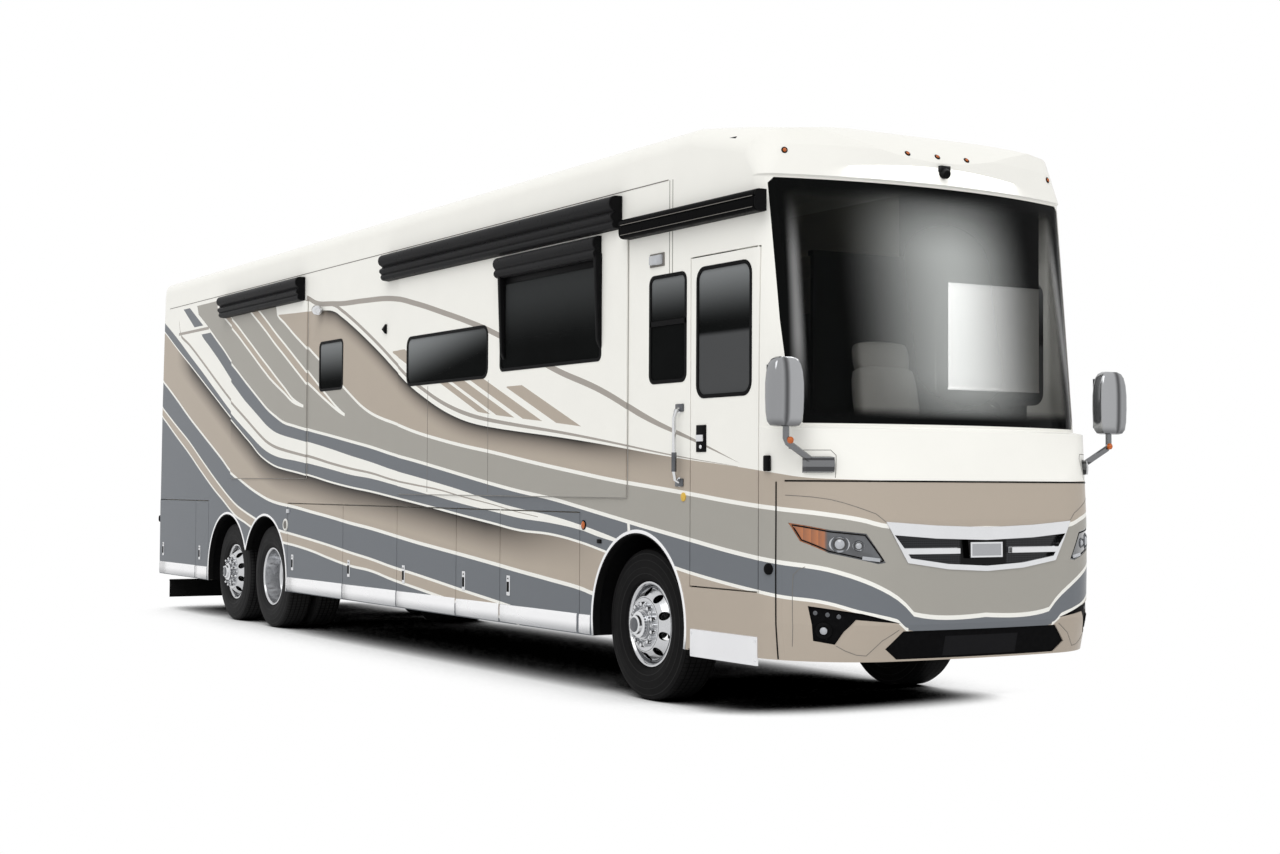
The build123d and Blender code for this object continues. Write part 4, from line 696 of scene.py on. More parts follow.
LOOKS = {
    coach_paint: ("front_cap", "nose", "rear_cap", "entry_door", "wall_right", "wall_left", "front_slide",
                  "rear_slide", "left_slide", "battery_door", "rear_bay_door_right", "rear_bay_door_left",
                  "engine_door", "roof_shell", *(f"bay_door_right_{n}" for n in range(1, 6)),
                  *(f"bay_door_left_{n}" for n in range(1, 4))),
    side_tint: ("side_glass", "entry_door_glass", "front_slide_glass", "left_slide_glass"),
    screen_tint: ("windshield",),
    awning_case: ("door_awning", "front_slide_awnings", "rear_slide_awnings", "left_slide_awnings"),
    mirror_chrome: ("mirrors",),
    grille_chrome: ("grille",),
    headlamp_glass: ("headlamps",),
    insert_plastic: ("lower_inserts",),
    black_plastic: ("dashboard",),
    lamp_lens: ("lamps",),
    roof_plastic: ("roof_units",),
    leather: ("seats",),
    wood: ("partition",),
    inner_panel: ("floor_deck", "basement"),
    steel_frame: ("chassis_frame", "axle_beams", "knuckle_right", "knuckle_left"),
    engine_iron: ("engine_block",),
    rim_metal: [f"{name}_{hand}" for name in ("front_rim", "tag_rim", "drive_rims") for hand, _ in BOTH],
    tyre_rubber: [f"{name}_{hand}" for name in ("front_tyre", "tag_tyre", "drive_tyres") for hand, _ in BOTH],
}
for material, names in LOOKS.items():
    for name in names:
        node_materials = NODES[name].data.materials
        node_materials.clear()
        node_materials.append(material)


# ---------------------------------------------------------------- mesh building
def placed(name, data):
    made = bpy.data.objects.new(name, data)
    bpy.context.scene.collection.objects.link(made)
    return made


def finished(name, mesh, material):
    """A smooth object of a bmesh, which is freed."""
    data = bpy.data.meshes.new(name)
    mesh.to_mesh(data)
    mesh.free()
    data.shade_smooth()
    data.materials.append(material)
    return placed(name, data)


def circle(middle, across, over, radius, sides):
    turns = (FULL_TURN * k / sides for k in range(sides))
    return [middle + (across * math.cos(turn) + over * math.sin(turn)) * radius for turn in turns]


def about(middle, half):
    return middle - half, middle + half


class Shape:
    """A mesh put together from simple forms; places are (x, station, z) in metres."""

    def __init__(self):
        self.mesh = bmesh.new()

    def rings(self, rows, capped=True):
        """Faces between rows of places, each row of the same length."""
        made = [[self.mesh.verts.new((x, y_of(s), z)) for x, s, z in row] for row in rows]
        for ring, after in zip(made, made[1:]):
            for corners in zip(ring, ring[1:] + ring[:1], after[1:] + after[:1], after):
                self.mesh.faces.new(corners)
        if capped:
            self.mesh.faces.new(made[0])
            self.mesh.faces.new(made[-1][::-1])
        return self

    def prism(self, outline, axis, low, high):
        """An outline run along x (points are station, z) or along the stations (points are x, z)."""
        if axis == "x":
            return self.rings([[(value, s, z) for s, z in outline] for value in (low, high)])
        return self.rings([[(x, value, z) for x, z in outline] for value in (low, high)])

    def box(self, x, station, z):
        (z0, z1), (s0, s1) = z, station
        return self.prism([(s0, z0), (s1, z0), (s1, z1), (s0, z1)], "x", *x)

    def plate(self, station, z, proud, sunk=0.001, side=-1, face=HALF):
        """A box on a side face."""
        return self.box((side * (face + proud), side * (face - sunk)), station, z)

    def tube(self, path, radius, sides=12):
        """A round bar along places."""
        rows = []
        for i, place in enumerate(path):
            along = (Vector(path[min(i + 1, len(path) - 1)]) - Vector(path[max(i - 1, 0)])).normalized()
            across = along.cross(Vector((0.31, 0.47, 0.83))).normalized()
            rows.append(circle(Vector(place), across, along.cross(across), radius, sides))
        return self.rings(rows)

    def turned(self, profile, centre, direction, sides=24):
        """A profile of (radius, distance along direction) turned round a line through centre."""
        along = Vector(direction).normalized()
        across = along.orthogonal().normalized()
        over = along.cross(across)
        return self.rings([circle(Vector(centre) + along * far, across, over, radius, sides)
                           for radius, far in profile])

    def knob(self, profile, station, z, side=-1, sides=24):
        """A profile turned on a side wall."""
        return self.turned(profile, (side * HALF, station, z), (side, 0, 0), sides)

    def strip(self, path, normals, width, proud, closed=False, sink=0.002):
        """A flat strip laid along places on a surface, standing proud of it."""
        rows = []
        last = len(path) - 1
        for i, (place, normal) in enumerate(zip(path, map(Vector, normals))):
            before, after = (i - 1, (i + 1) % len(path)) if closed else (max(i - 1, 0), min(i + 1, last))
            side = (Vector(path[after]) - Vector(path[before])).cross(normal).normalized() * (width / 2)
            low, high = Vector(place) - normal * sink, Vector(place) + normal * proud
            rows.append((low - side, low + side, high + side, high - side))
        return self.rings(rows + rows[:1] if closed else rows, capped=not closed)

    def frame(self, side, face, window, width, radius, proud, sink=0.003, steps=6):
        """A frame of rounded outline round an opening (s0, s1, z0, z1) in a side face."""
        s0, s1, z0, z1 = window
        corners = ((s1 - radius, z1 - radius), (s0 + radius, z1 - radius), (s0 + radius, z0 + radius),
                   (s1 - radius, z0 + radius))
        rows = []
        for quarter, (s, z) in enumerate(corners):
            for k in range(steps + 1):
                turn = (quarter + k / steps) * math.pi / 2
                c, d = math.cos(turn), math.sin(turn)
                rows.append([(side * (face + out), s + c * (radius + more), z + d * (radius + more))
                             for out, more in ((-sink, 0.0), (-sink, width), (proud, width), (proud, 0.0))])
        return self.rings(rows + rows[:1], capped=False)

    def piece(self, name, material, body="coach", bevel=0.0):
        bmesh.ops.remove_doubles(self.mesh, verts=self.mesh.verts, dist=1e-5)
        bmesh.ops.recalc_face_normals(self.mesh, faces=self.mesh.faces)
        if bevel:
            edges = [e for e in self.mesh.edges
                     if e.is_manifold and abs(e.calc_face_angle(0.0)) > math.radians(40)]
            bmesh.ops.bevel(self.mesh, geom=edges, offset=bevel, segments=2, profile=0.5, affect="EDGES",
                            clamp_overlap=True)
        made = finished(name, self.mesh, material)
        made.data.set_sharp_from_angle(angle=math.radians(35))
        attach(made, body)
        return made


def skin(*names):
    """A search tree over CAD nodes at rest."""
    places, faces = [], []
    for name in names:
        node = NODES[name]
        start = len(places)
        places += [node.matrix_world @ vertex.co for vertex in node.data.vertices]
        faces += [[start + i for i in polygon.vertices] for polygon in node.data.polygons]
    return BVHTree.FromPolygons(places, faces)


def side_hit(tree, side, station, z):
    return tree.ray_cast(Vector((side * 3.0, y_of(station), z)), Vector((-side, 0.0, 0.0)))[0]


bpy.context.view_layer.update()
FRONT_SKIN = skin("nose", "front_cap", "windshield", "headlamps", "grille", "lower_inserts")
SIDE_SKIN = skin("nose", "front_cap", "wall_right", "wall_left", "entry_door")
TAIL_SKIN = skin("rear_cap", "lamps")


def on_front(x, z):
    """The place on the front at x and z, and the way that the surface faces there."""
    place, normal, _, _ = FRONT_SKIN.ray_cast(Vector((x, -9.0, z)), Vector((0.0, 1.0, 0.0)))
    return (place.x, place.y + HALF_LENGTH, place.z), -normal if normal.y > 0 else normal


def on_side(side, station, z):
    return abs(side_hit(SIDE_SKIN, side, station, z).x)


def on_tail(x, z):
    return TAIL_SKIN.ray_cast(Vector((x, 9.0, z)), Vector((0.0, -1.0, 0.0)))[0].y + HALF_LENGTH


def between(points, steps):
    """More points on the straight lines between points."""
    path = []
    for (x0, z0), (x1, z1) in zip(points, points[1:]):
        path += [(x0 + (x1 - x0) * k / steps, z0 + (z1 - z0) * k / steps) for k in range(steps)]
    return path + [points[-1]]


def front_strip(shape, points, width, proud, steps, flip=1, closed=False):
    laid = [on_front(flip * x, z) for x, z in between(points, steps)][:-1 if closed else None]
    return shape.strip([place for place, _ in laid], [normal for _, normal in laid], width, proud, closed)


def front_disc(shape, x, z, profile, sides, size=1.0):
    place, normal = on_front(x, z)
    return shape.turned([(radius * size, far) for radius, far in profile], place, normal, sides)


# ---------------------------------------------------------------- lower side trim, on each door
STRIP_Z = (0.415, 0.560)
STRIP_PROUD = 0.009
STRIP_GAP = 0.008
HINGE_GAP = 0.030
BAYS = {"right": [f"bay_door_right_{n}" for n in range(1, 6)] + ["battery_door", "rear_bay_door_right"],
        "left": [f"bay_door_left_{n}" for n in range(1, 4)] + ["rear_bay_door_left"]}
HINGED_AHEAD = ("bay_door_right_1", "bay_door_left_1", "battery_door", "rear_bay_door_left")
LATCH_Z = (0.63, 0.79)
LATCH_IN = 0.15
PADDLE_Z = (0.66, 0.74)


def side_strip(side, start, end):
    """The slightly crowned bright strip."""
    z0, z1 = STRIP_Z
    outline = ((-0.001, z0), (0.006, z0 + 0.004), (STRIP_PROUD, z0 + 0.03), (STRIP_PROUD, z1 - 0.03),
               (0.006, z1 - 0.004), (-0.001, z1))
    return Shape().prism([(side * (HALF + out), z) for out, z in outline], "s", start, end)


for hand, side in BOTH:
    for door in BAYS[hand]:
        low, high = (corner.y + HALF_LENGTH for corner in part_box(door))
        start = low + (HINGE_GAP if door in HINGED_AHEAD else STRIP_GAP)
        side_strip(side, start, high - STRIP_GAP).piece(f"strip_{door}", bright_strip, door, 0.003)
        middle = high - LATCH_IN
        Shape().plate(about(middle, 0.028), LATCH_Z, 0.006, side=side).piece(f"latch_{door}", chrome, door, 0.004)
        Shape().plate(about(middle, 0.016), PADDLE_Z, 0.010, -0.005, side).knob(
            [(0.007, 0.004), (0.007, 0.009)], middle, LATCH_Z[1] - 0.025, side, 12).piece(
            f"paddle_{door}", black_plastic, door, 0.001)

# riveted steel panel ahead of the front wheels
PANEL_S, PANEL_Z = (0.70, 1.49), (0.37, 0.555)
RIVET = ((0.006, 0.0), (0.006, 0.008), (0.003, 0.010))
for hand, side in BOTH:
    rows, rivets = [], Shape()
    for k in range(13):
        s = PANEL_S[0] + (PANEL_S[1] - PANEL_S[0]) * k / 12
        x = on_side(side, s, 0.5)
        rows.append([(side * (x + out), s, z) for out, z in
                     ((-0.004, PANEL_Z[0]), (0.004, PANEL_Z[0]), (0.006, PANEL_Z[0] + 0.01),
                      (0.006, PANEL_Z[1] - 0.004), (0.0, PANEL_Z[1]), (-0.004, PANEL_Z[1]))])
    Shape().rings(rows).piece(f"step_panel_{hand}", step_steel)
    for s in (PANEL_S[0] + 0.02, PANEL_S[1] - 0.02):
        for z in (PANEL_Z[0] + 0.03, PANEL_Z[1] - 0.03):
            rivets.turned(RIVET, (side * on_side(side, s, 0.5), s, z), (side, 0, 0), 10)
    rivets.piece(f"step_rivets_{hand}", chrome)

# ---------------------------------------------------------------- wheel arches
# openings as (station, height, radius), and how far in the liner reaches
ARCHES = ((((FRONT_AXLE, 0.545, 0.638),), 0.490),
          (((DRIVE_AXLE, 0.515, 0.660), (TAG_AXLE, 0.515, 0.660)), 0.575))
LINER_OUT = 1.272
LINER = 0.004               # thickness of the liner
SKIRT = 0.412
MEETING = (DRIVE_AXLE + TAG_AXLE) / 2
ARCH_STEPS = 64
# sections as (outwards from the wall, away from the opening's edge)
TRIM_SECTION = ((-0.006, -0.010), (0.005, -0.010), (0.008, -0.004), (0.008, 0.009), (0.004, 0.014),
                (-0.006, 0.014))
LIP_SECTION = ((-0.05, -0.011), (0.003, -0.011), (0.003, -0.022), (-0.05, -0.022))
WALL_STRIP = (2.862, 3.027)


def arch_path(openings):
    """Station, height and outward direction along the edge of one or two joined round openings."""
    path = []
    for s, z, r in openings[::-1]:
        below = math.asin((z - SKIRT) / r)
        for k in range(ARCH_STEPS + 1):
            turn = -below + (math.pi + 2 * below) * k / ARCH_STEPS
            place = s + r * math.cos(turn)
            if len(openings) == 1 or (s > MEETING) == (place > MEETING):
                path.append((place, z + r * math.sin(turn), math.cos(turn), math.sin(turn)))
    return path


for hand, side in BOTH:
    for number, (openings, _) in enumerate(ARCHES, 1):
        for name, section, material in (("trim", TRIM_SECTION, bright_strip), ("lip", LIP_SECTION, seam_rubber)):
            Shape().rings([[(side * (HALF + out), s + c * more, z + d * more) for out, more in section]
                           for s, z, c, d in arch_path(openings)]).piece(f"arch_{name}_{number}_{hand}", material)
for hand, side in BOTH:
    for number, (openings, inner) in enumerate(ARCHES, 1):
        path = arch_path(openings)
        section = ((inner, LINER), (LINER_OUT, LINER), (LINER_OUT, 0.001), (inner, 0.001))
        Shape().rings([[(side * x, s - c * more, z - d * more) for x, more in section]
                       for s, z, c, d in path]).prism(
            [(s - c * LINER, z - d * LINER) for s, z, c, d in path], "x", side * inner,
            side * (inner - LINER)).piece(f"arch_liner_{number}_{hand}", black_plastic)
    side_strip(side, *WALL_STRIP).piece(f"strip_wall_{hand}", bright_strip, bevel=0.003)
FLAP_X = (-1.245, 1.245)
flap = Shape().box(FLAP_X, (13.300, 13.314), (0.134, 0.340)).box(FLAP_X, (13.294, 13.320), (0.322, 0.346))
for x in (-0.43, 0.43):
    flap.box(about(x, 0.02), (13.280, 13.300), (0.300, 1.050))
flap.piece("rear_flap", seam_rubber, bevel=0.004)

# ---------------------------------------------------------------- seals round the rooms, window frames
ROOMS = (("front_slide", -1, (2.335, 6.370, 1.420, 3.335)), ("rear_slide", -1, (8.650, 10.950, 1.560, 3.335)),
         ("left_slide", 1, (2.335, 8.200, 1.420, 3.335)))
FRAME_WIDTH = 0.026
FRAME_LAP = 0.022
CAB_PANE = (1.560, 2.043, 2.210, 2.955)
# body, then side, outer face, opening (first and last station, bottom, top) and corner radius of each pane
PANES = (("front_slide", ((-1, SLIDE_FACE, (4.560, 6.180, 2.370, 2.800), 0.085),
                          (-1, SLIDE_FACE, (2.700, 4.340, 2.410, 3.130), 0.050))),
         ("left_slide", ((1, SLIDE_FACE, (2.800, 4.300, 2.370, 2.960), 0.085),
                         (1, SLIDE_FACE, (4.900, 6.500, 2.370, 2.960), 0.085),
                         (1, SLIDE_FACE, (6.950, 7.700, 2.370, 2.960), 0.085))),
         ("coach", ((-1, HALF, CAB_PANE, 0.060), (-1, HALF, (7.720, 8.335, 2.410, 2.890), 0.060),
                    (1, HALF, CAB_PANE, 0.060), (1, HALF, (9.400, 10.200, 2.370, 2.890), 0.060),
                    (1, HALF, (0.830, 1.440, 2.090, 2.960), 0.090))),
         ("entry_door", ((-1, HALF, (0.777, 1.430, 2.090, 2.960), 0.090),)))


def inset(opening, lap):
    s0, s1, z0, z1 = opening
    return s0 + lap, s1 - lap, z0 + lap, z1 - lap


for room, side, opening in ROOMS:
    Shape().frame(side, HALF, inset(opening, 0.004), 0.010, 0.001, 0.004).piece(f"seal_{room}", seal_grey)
number = 0
for body, panes in PANES:
    for side, face, opening, radius in panes:
        number += 1
        pane = Shape().frame(side, face, inset(opening, FRAME_LAP), FRAME_WIDTH, radius - FRAME_LAP, 0.003, 0.0045)
        if opening is CAB_PANE:
            pane.plate(opening[:2], (2.605, 2.640), 0.003, 0.0045, side, face)
        pane.piece(f"window_frame_{number}", black_plastic, body)

# ---------------------------------------------------------------- entrance: handles, lamp, small fittings
GRAB_STATION = 1.635
GRAB_PATH = ((0.0, 1.53), (0.035, 1.545), (0.048, 1.60), (0.048, 1.96), (0.035, 2.015), (0.0, 2.03))
GRAB_FOOT = ((0.032, -0.001), (0.032, 0.006), (0.024, 0.010))
FILLER = (9.23, 1.085)


def grab_bar(places, radius):
    return Shape().tube([(-HALF - out, GRAB_STATION, z) for out, z in places], radius)


grab = grab_bar(GRAB_PATH, 0.014)
for height in (1.53, 2.03):
    grab.knob(GRAB_FOOT, GRAB_STATION, height, sides=20)
grab.piece("grab_handle", chrome)
Shape().plate((1.585, 1.685), (1.50, 1.555), 0.012).plate((1.585, 1.685), (2.005, 2.06), 0.012).piece(
    "grab_feet", dark_chrome, bevel=0.006)
grab_bar(((0.048, 1.60), (0.048, 1.73)), 0.018).piece("grab_sleeve", dark_chrome)
Shape().plate((1.305, 1.425), (1.73, 1.91), 0.008).piece("door_handle_plate", black_plastic, "entry_door", 0.01)
Shape().plate((1.325, 1.405), (1.80, 1.845), 0.022, -0.006).knob(
    [(0.014, 0.006), (0.014, 0.013), (0.008, 0.015)], 1.365, 1.765, sides=16).piece(
    "door_handle", chrome, "entry_door", 0.005)
Shape().plate((1.86, 2.02), (3.03, 3.10), 0.028).piece("porch_lamp", clear_lens, bevel=0.012)
Shape().plate((1.845, 2.035), (3.018, 3.112), 0.008).piece("porch_lamp_base", line_grey, bevel=0.004)
Shape().turned([(0.038, -0.07), (0.050, -0.05), (0.050, 0.03), (0.042, 0.05), (0.026, 0.052), (0.024, 0.046)],
               (-HALF - 0.055, 8.27, 3.2), (-0.25, -1, -0.15)).plate(
    (8.25, 8.31), (3.185, 3.215), 0.03).piece("side_camera", chrome)
Shape().knob([(0.062, -0.001), (0.062, 0.008), (0.054, 0.014), (0.046, 0.010), (0.040, 0.006)], *FILLER,
             sides=32).piece("filler_ring", pale_plastic)
Shape().knob([(0.040, 0.004), (0.038, 0.012), (0.030, 0.016)], *FILLER).piece("filler_cap", line_grey)
Shape().prism([(6.745, 2.91), (6.665, 2.955), (6.665, 2.865)], "x", -HALF - 0.022, -HALF + 0.001).plate(
    (6.675, 6.70), (2.895, 2.925), 0.026, -0.020).piece("side_vent", black_plastic, bevel=0.004)
Shape().plate((2.70, 2.76), (1.085, 1.115), 0.012).piece("side_pull", black_plastic, bevel=0.006)
Shape().knob([(0.030, -0.001), (0.030, 0.006), (0.020, 0.010)], 1.587, 1.43).piece("side_plug", yellow_plastic)
knobs, stubs, domes, bezels = Shape(), Shape(), Shape(), Shape()
for hand, side in BOTH:
    knobs.turned([(0.036, -0.004), (0.036, 0.010), (0.028, 0.018), (0.012, 0.021)],
                 (side * on_side(side, 0.592, 0.986), 0.592, 0.986), (side, -0.25, 0.0))
    stubs.turned([(0.034, -0.03), (0.040, 0.02), (0.038, 0.045), (0.020, 0.052)], (side * 1.235, 13.645, 1.070),
                 (side, 0.35, 0.0))
    domes.knob([(0.028, -0.002), (0.028, 0.008), (0.018, 0.014), (0.006, 0.016)], 2.970, 1.213, side, 28)
    bezels.knob([(0.036, -0.002), (0.036, 0.005), (0.028, 0.007)], 2.970, 1.213, side, 28)
knobs.piece("corner_knobs", black_plastic)
stubs.piece("tail_stubs", black_plastic)
Shape().plate((0.565, 0.625), (1.60, 1.70), 0.022, 0.004, face=on_side(-1, 0.60, 1.65)).piece(
    "corner_reader", black_plastic, bevel=0.008)

# ---------------------------------------------------------------- seams that are thin strips
for hand, side in BOTH:
    seams = Shape().plate((1.80, 13.30), (3.600, 3.607), 0.0015, side=side)
    for s in (1.742, 1.782):
        seams.plate(about(s, 0.003), (2.95, 3.60), 0.0012, side=side)
    seams.piece(f"wall_seams_{hand}", line_grey)
slide_seams = Shape()
for s in (5.73, 4.55):
    slide_seams.plate(about(s, 0.0025), (1.44, 2.35), 0.0012, face=SLIDE_FACE)
slide_seams.piece("room_seams", line_grey, "front_slide")

# ---------------------------------------------------------------- the front
SEAM_STATION = 0.535
SEAM_TOP = 1.5405
seam = Shape()
front_strip(seam, [(x, SEAM_TOP) for x in (-1.236, -1.0, 0.0, 1.0, 1.236)], 0.010, 0.003, 14)
for hand, side in BOTH:
    path = [(side * on_side(side, SEAM_STATION, z), SEAM_STATION, z)
            for z in (0.425 + (1.535 - 0.425) * k / 20 for k in range(21))]
    seam.strip(path, [(side, -0.45, 0.0)] * len(path), 0.009, 0.003)
seam.piece("nose_seam", seam_rubber)
CREASES = ([(-1.235, 1.451), (-1.197, 1.447), (-1.138, 1.440), (-1.065, 1.426), (-0.998, 1.405), (-0.915, 1.374),
            (-0.822, 1.338), (-0.765, 1.29)],
           [(-1.234, 1.795), (-1.230, 1.742), (-1.20, 1.732), (-1.04, 1.732), (-1.015, 1.70), (-1.036, 1.56)],
           [(-1.172, 1.007), (-1.193, 0.993), (-1.212, 0.955), (-1.214, 0.861), (-1.212, 0.675), (-1.202, 0.51)],
           [(-1.023, 0.522), (-0.974, 0.491), (-0.912, 0.466), (-0.854, 0.460), (-0.768, 0.553), (-0.661, 0.619)])
HEAD_EDGE = [(-0.776, 1.048), (-0.812, 1.040), (-1.072, 1.106), (-1.182, 1.174), (-1.214, 1.266), (-1.066, 1.226),
             (-0.888, 1.206), (-0.776, 1.048)]
HEAD_BAR = [(-0.905, 1.066), (-0.80, 1.052)]
RING = ((1.08, -0.004), (1.08, 0.003), (1.0, 0.006), (0.86, 0.003), (0.84, -0.004))   # radii of 1
LENS = ((0.62, -0.004), (0.60, 0.004), (0.4, 0.010), (0.12, 0.013))
SENSORS = ((-1.123, 0.724), (-1.071, 0.714), (-1.019, 0.703))
SENSOR = ((0.014, -0.003), (0.014, 0.004), (0.0084, 0.006))
FOG = (-1.084, 0.614)
FOG_RING = ((0.052, -0.004), (0.052, 0.006), (0.044, 0.012), (0.030, 0.006), (0.026, -0.004))
FOG_LENS = ((0.024, -0.004), (0.023, 0.006), (0.014, 0.012), (0.005, 0.014))
creases, rings, rims, lenses, sensors, fog_rings, fog_lenses = (Shape() for _ in range(7))
for flip in (1, -1):
    for line in CREASES:
        front_strip(creases, line, 0.004, 0.0012, 5, flip)
    for x, z, radius in LENSES:
        front_disc(rings, flip * x, z, RING, 32, radius)
        front_disc(lenses, flip * x, z, LENS, 28, radius)
    front_strip(lenses, HEAD_BAR, 0.022, 0.004, 4, flip)
    front_strip(rims, HEAD_EDGE, 0.009, 0.0025, 4, flip, closed=True)
    for x, z in SENSORS:
        front_disc(sensors, flip * x, z, SENSOR, 20)
    front_disc(fog_rings, flip * FOG[0], FOG[1], FOG_RING, 32)
    front_disc(fog_lenses, flip * FOG[0], FOG[1], FOG_LENS, 28)
creases.piece("front_creases", line_grey)
rings.piece("headlamp_rings", dark_chrome)
rims.piece("headlamp_edges", seam_rubber)
lenses.piece("headlamp_lenses", clear_lens)
sensors.piece("front_sensors", dark_chrome)
fog_rings.piece("fog_rings", black_plastic)
fog_lenses.piece("fog_lenses", clear_lens)

camera_place, _ = on_front(0.022, 3.581)
Shape().turned([(0.034, -0.01), (0.036, 0.02), (0.030, 0.045), (0.022, 0.05), (0.020, 0.046)], camera_place,
               (0.0, -1.0, -0.35)).box(about(0.022, 0.040), (camera_place[1] - 0.03, camera_place[1] + 0.02),
                                       (3.585, 3.625)).piece("brow_camera", black_plastic, bevel=0.004)

# round brow lamps, side markers and tail lamps in place of the plain blocks
BROW = ((0.0, 3.69), (0.25, 3.69), (-0.25, 3.69), (1.12, 3.655), (-1.12, 3.655))
TAIL_X = (1.012, 1.198)
TAIL_Z = (0.902, 1.498)
TAIL_ROWS = 14
for x, z in BROW:
    front_disc(domes, x, z, [(0.013, -0.004), (0.013, 0.006), (0.009, 0.011), (0.003, 0.013)], 20)
    front_disc(bezels, x, z, [(0.021, -0.004), (0.021, 0.003), (0.017, 0.006), (0.013, 0.004)], 24)
tails = Shape()
for hand, side in BOTH:
    columns = [side * (TAIL_X[0] + (TAIL_X[1] - TAIL_X[0]) * k / 6) for k in range(7)]
    rows = []
    for level in range(TAIL_ROWS + 1):
        z = TAIL_Z[0] + (TAIL_Z[1] - TAIL_Z[0]) * level / TAIL_ROWS
        proud = -0.005 if level in (0, TAIL_ROWS) else 0.007
        rows.append([(x, on_tail(x, z) + proud, z) for x in columns]
                    + [(x, on_tail(x, z) - 0.010, z) for x in reversed(columns)])
    tails.rings(rows)
tails.piece("tail_lamps", red_lens)
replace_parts(domes.piece("marker_lamps", amber), "lamps")
bezels.piece("marker_bezels", black_plastic)
markers = Shape()
for hand, side in BOTH:
    markers.plate((9.120, 9.192), (1.205, 1.247), 0.014, 0.002, side)
markers.piece("rear_markers", clear_lens, bevel=0.006)

# mirrors: levels of the head as height, half width and half depth
HEAD_LEVELS = ((1.873, 0.070, 0.030), (1.880, 0.092, 0.045), (1.905, 0.110, 0.056), (1.96, 0.118, 0.062),
               (2.05, 0.121, 0.064), (2.14, 0.120, 0.064), (2.21, 0.114, 0.060), (2.26, 0.102, 0.052),
               (2.288, 0.084, 0.042), (2.302, 0.058, 0.026))
HEAD_MIDDLE = (1.360, 0.300)
HEAD_SQUARE = 0.42
HEAD_SIDES = 40
STEM = ((1.350, 0.300, 1.90), (1.350, 0.300, 1.80), (1.335, 0.302, 1.775), (1.115, 0.322, 1.652))
FOOT_X = (1.050, 1.075, 1.10, 1.125, 1.15, 1.18)
FOOT_SECTION = ((0.004, 1.590), (-0.036, 1.596), (-0.042, 1.642), (-0.036, 1.688), (0.004, 1.694))


def squared(part):
    return math.copysign(abs(part) ** HEAD_SQUARE, part)


def head_ring(side, z, half_x, half_s):
    turns = (FULL_TURN * k / HEAD_SIDES for k in range(HEAD_SIDES))
    return [(side * (HEAD_MIDDLE[0] + half_x * squared(math.cos(turn))),
             HEAD_MIDDLE[1] + half_s * squared(math.sin(turn)), z) for turn in turns]


heads, glasses, mirror_lamps = Shape(), Shape(), Shape()
for hand, side in BOTH:
    heads.rings([head_ring(side, *level) for level in HEAD_LEVELS])
    heads.tube([(side * x, s, z) for x, s, z in STEM], 0.021, 14)
    heads.rings([[(place[0], place[1] + back, z) for back, z in FOOT_SECTION]
                 for place, _ in (on_front(side * x, 1.642) for x in FOOT_X)])
    glasses.box((side * 1.268, side * 1.452), (HEAD_MIDDLE[1] + 0.058, HEAD_MIDDLE[1] + 0.0665), (1.915, 2.255))
    mirror_lamps.turned([(0.022, -0.002), (0.020, 0.010), (0.010, 0.018)], (side * 1.335, 0.275, 1.79), (0, -1, 0),
                        20)
heads_piece = heads.piece("mirror_heads", mirror_chrome)
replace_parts(heads_piece, "mirrors")
glasses.piece("mirror_glasses", dark_chrome, bevel=0.003)
mirror_lamps.piece("mirror_lamps", amber)

# ---------------------------------------------------------------- awnings
WINDOW_AWNING_S = (2.700, 4.340)
ARM_SECTION = ((0.002, 3.19), (0.055, 3.19), (0.030, 2.56), (0.002, 2.50))
TOPPER = ((0.000, 0.240), (0.052, 0.240), (0.078, 0.232), (0.096, 0.214), (0.104, 0.190), (0.102, 0.166),
          (0.090, 0.146), (0.070, 0.134), (0.062, 0.124), (0.070, 0.116), (0.084, 0.108), (0.092, 0.094),
          (0.090, 0.078), (0.078, 0.066), (0.068, 0.058), (0.074, 0.048), (0.078, 0.034), (0.072, 0.018),
          (0.056, 0.006), (0.000, 0.001))
LID = ((0.000, 0.168), (0.030, 0.168), (0.052, 0.160), (0.068, 0.144), (0.075, 0.120), (0.072, 0.096),
       (0.060, 0.078), (0.052, 0.070), (0.058, 0.060), (0.066, 0.046), (0.066, 0.028), (0.056, 0.012),
       (0.040, 0.003), (0.000, 0.001))
DOOR_LID = ((0.000, 0.140), (0.062, 0.140), (0.080, 0.134), (0.092, 0.118), (0.095, 0.100), (0.088, 0.094),
            (0.088, 0.086), (0.095, 0.080), (0.095, 0.040), (0.090, 0.018), (0.076, 0.004), (0.056, 0.000),
            (0.000, 0.000))
TOPPER_FACE = SLIDE_FACE - 0.010
CASE_GAP = 0.0006
CASE_END = 0.012
# name, side, face the case hangs on, first and last station, bottom, section, body
CASES = (("topper_front", -1, TOPPER_FACE, 2.425, 6.640, 3.3355, TOPPER, "front_slide"),
         ("topper_rear", -1, TOPPER_FACE, 8.740, 11.220, 3.3355, TOPPER, "rear_slide"),
         ("topper_left", 1, TOPPER_FACE, 2.425, 8.470, 3.3355, TOPPER, "left_slide"),
         ("window_awning", -1, SLIDE_FACE, *WINDOW_AWNING_S, 3.150, LID, "front_slide"),
         ("door_awning_case", -1, HALF, 0.612, 2.325, 3.246, DOOR_LID, "coach"))
arms = Shape().plate(WINDOW_AWNING_S, (3.100, 3.160), 0.006, 0.002, face=SLIDE_FACE)
for s in (4.27, 2.71):
    arms.prism([(-SLIDE_FACE - out, z) for out, z in ARM_SECTION], "s", *about(s, 0.022))
arms.piece("window_awning_arms", black_plastic, "front_slide", 0.006)
made_cases = {}
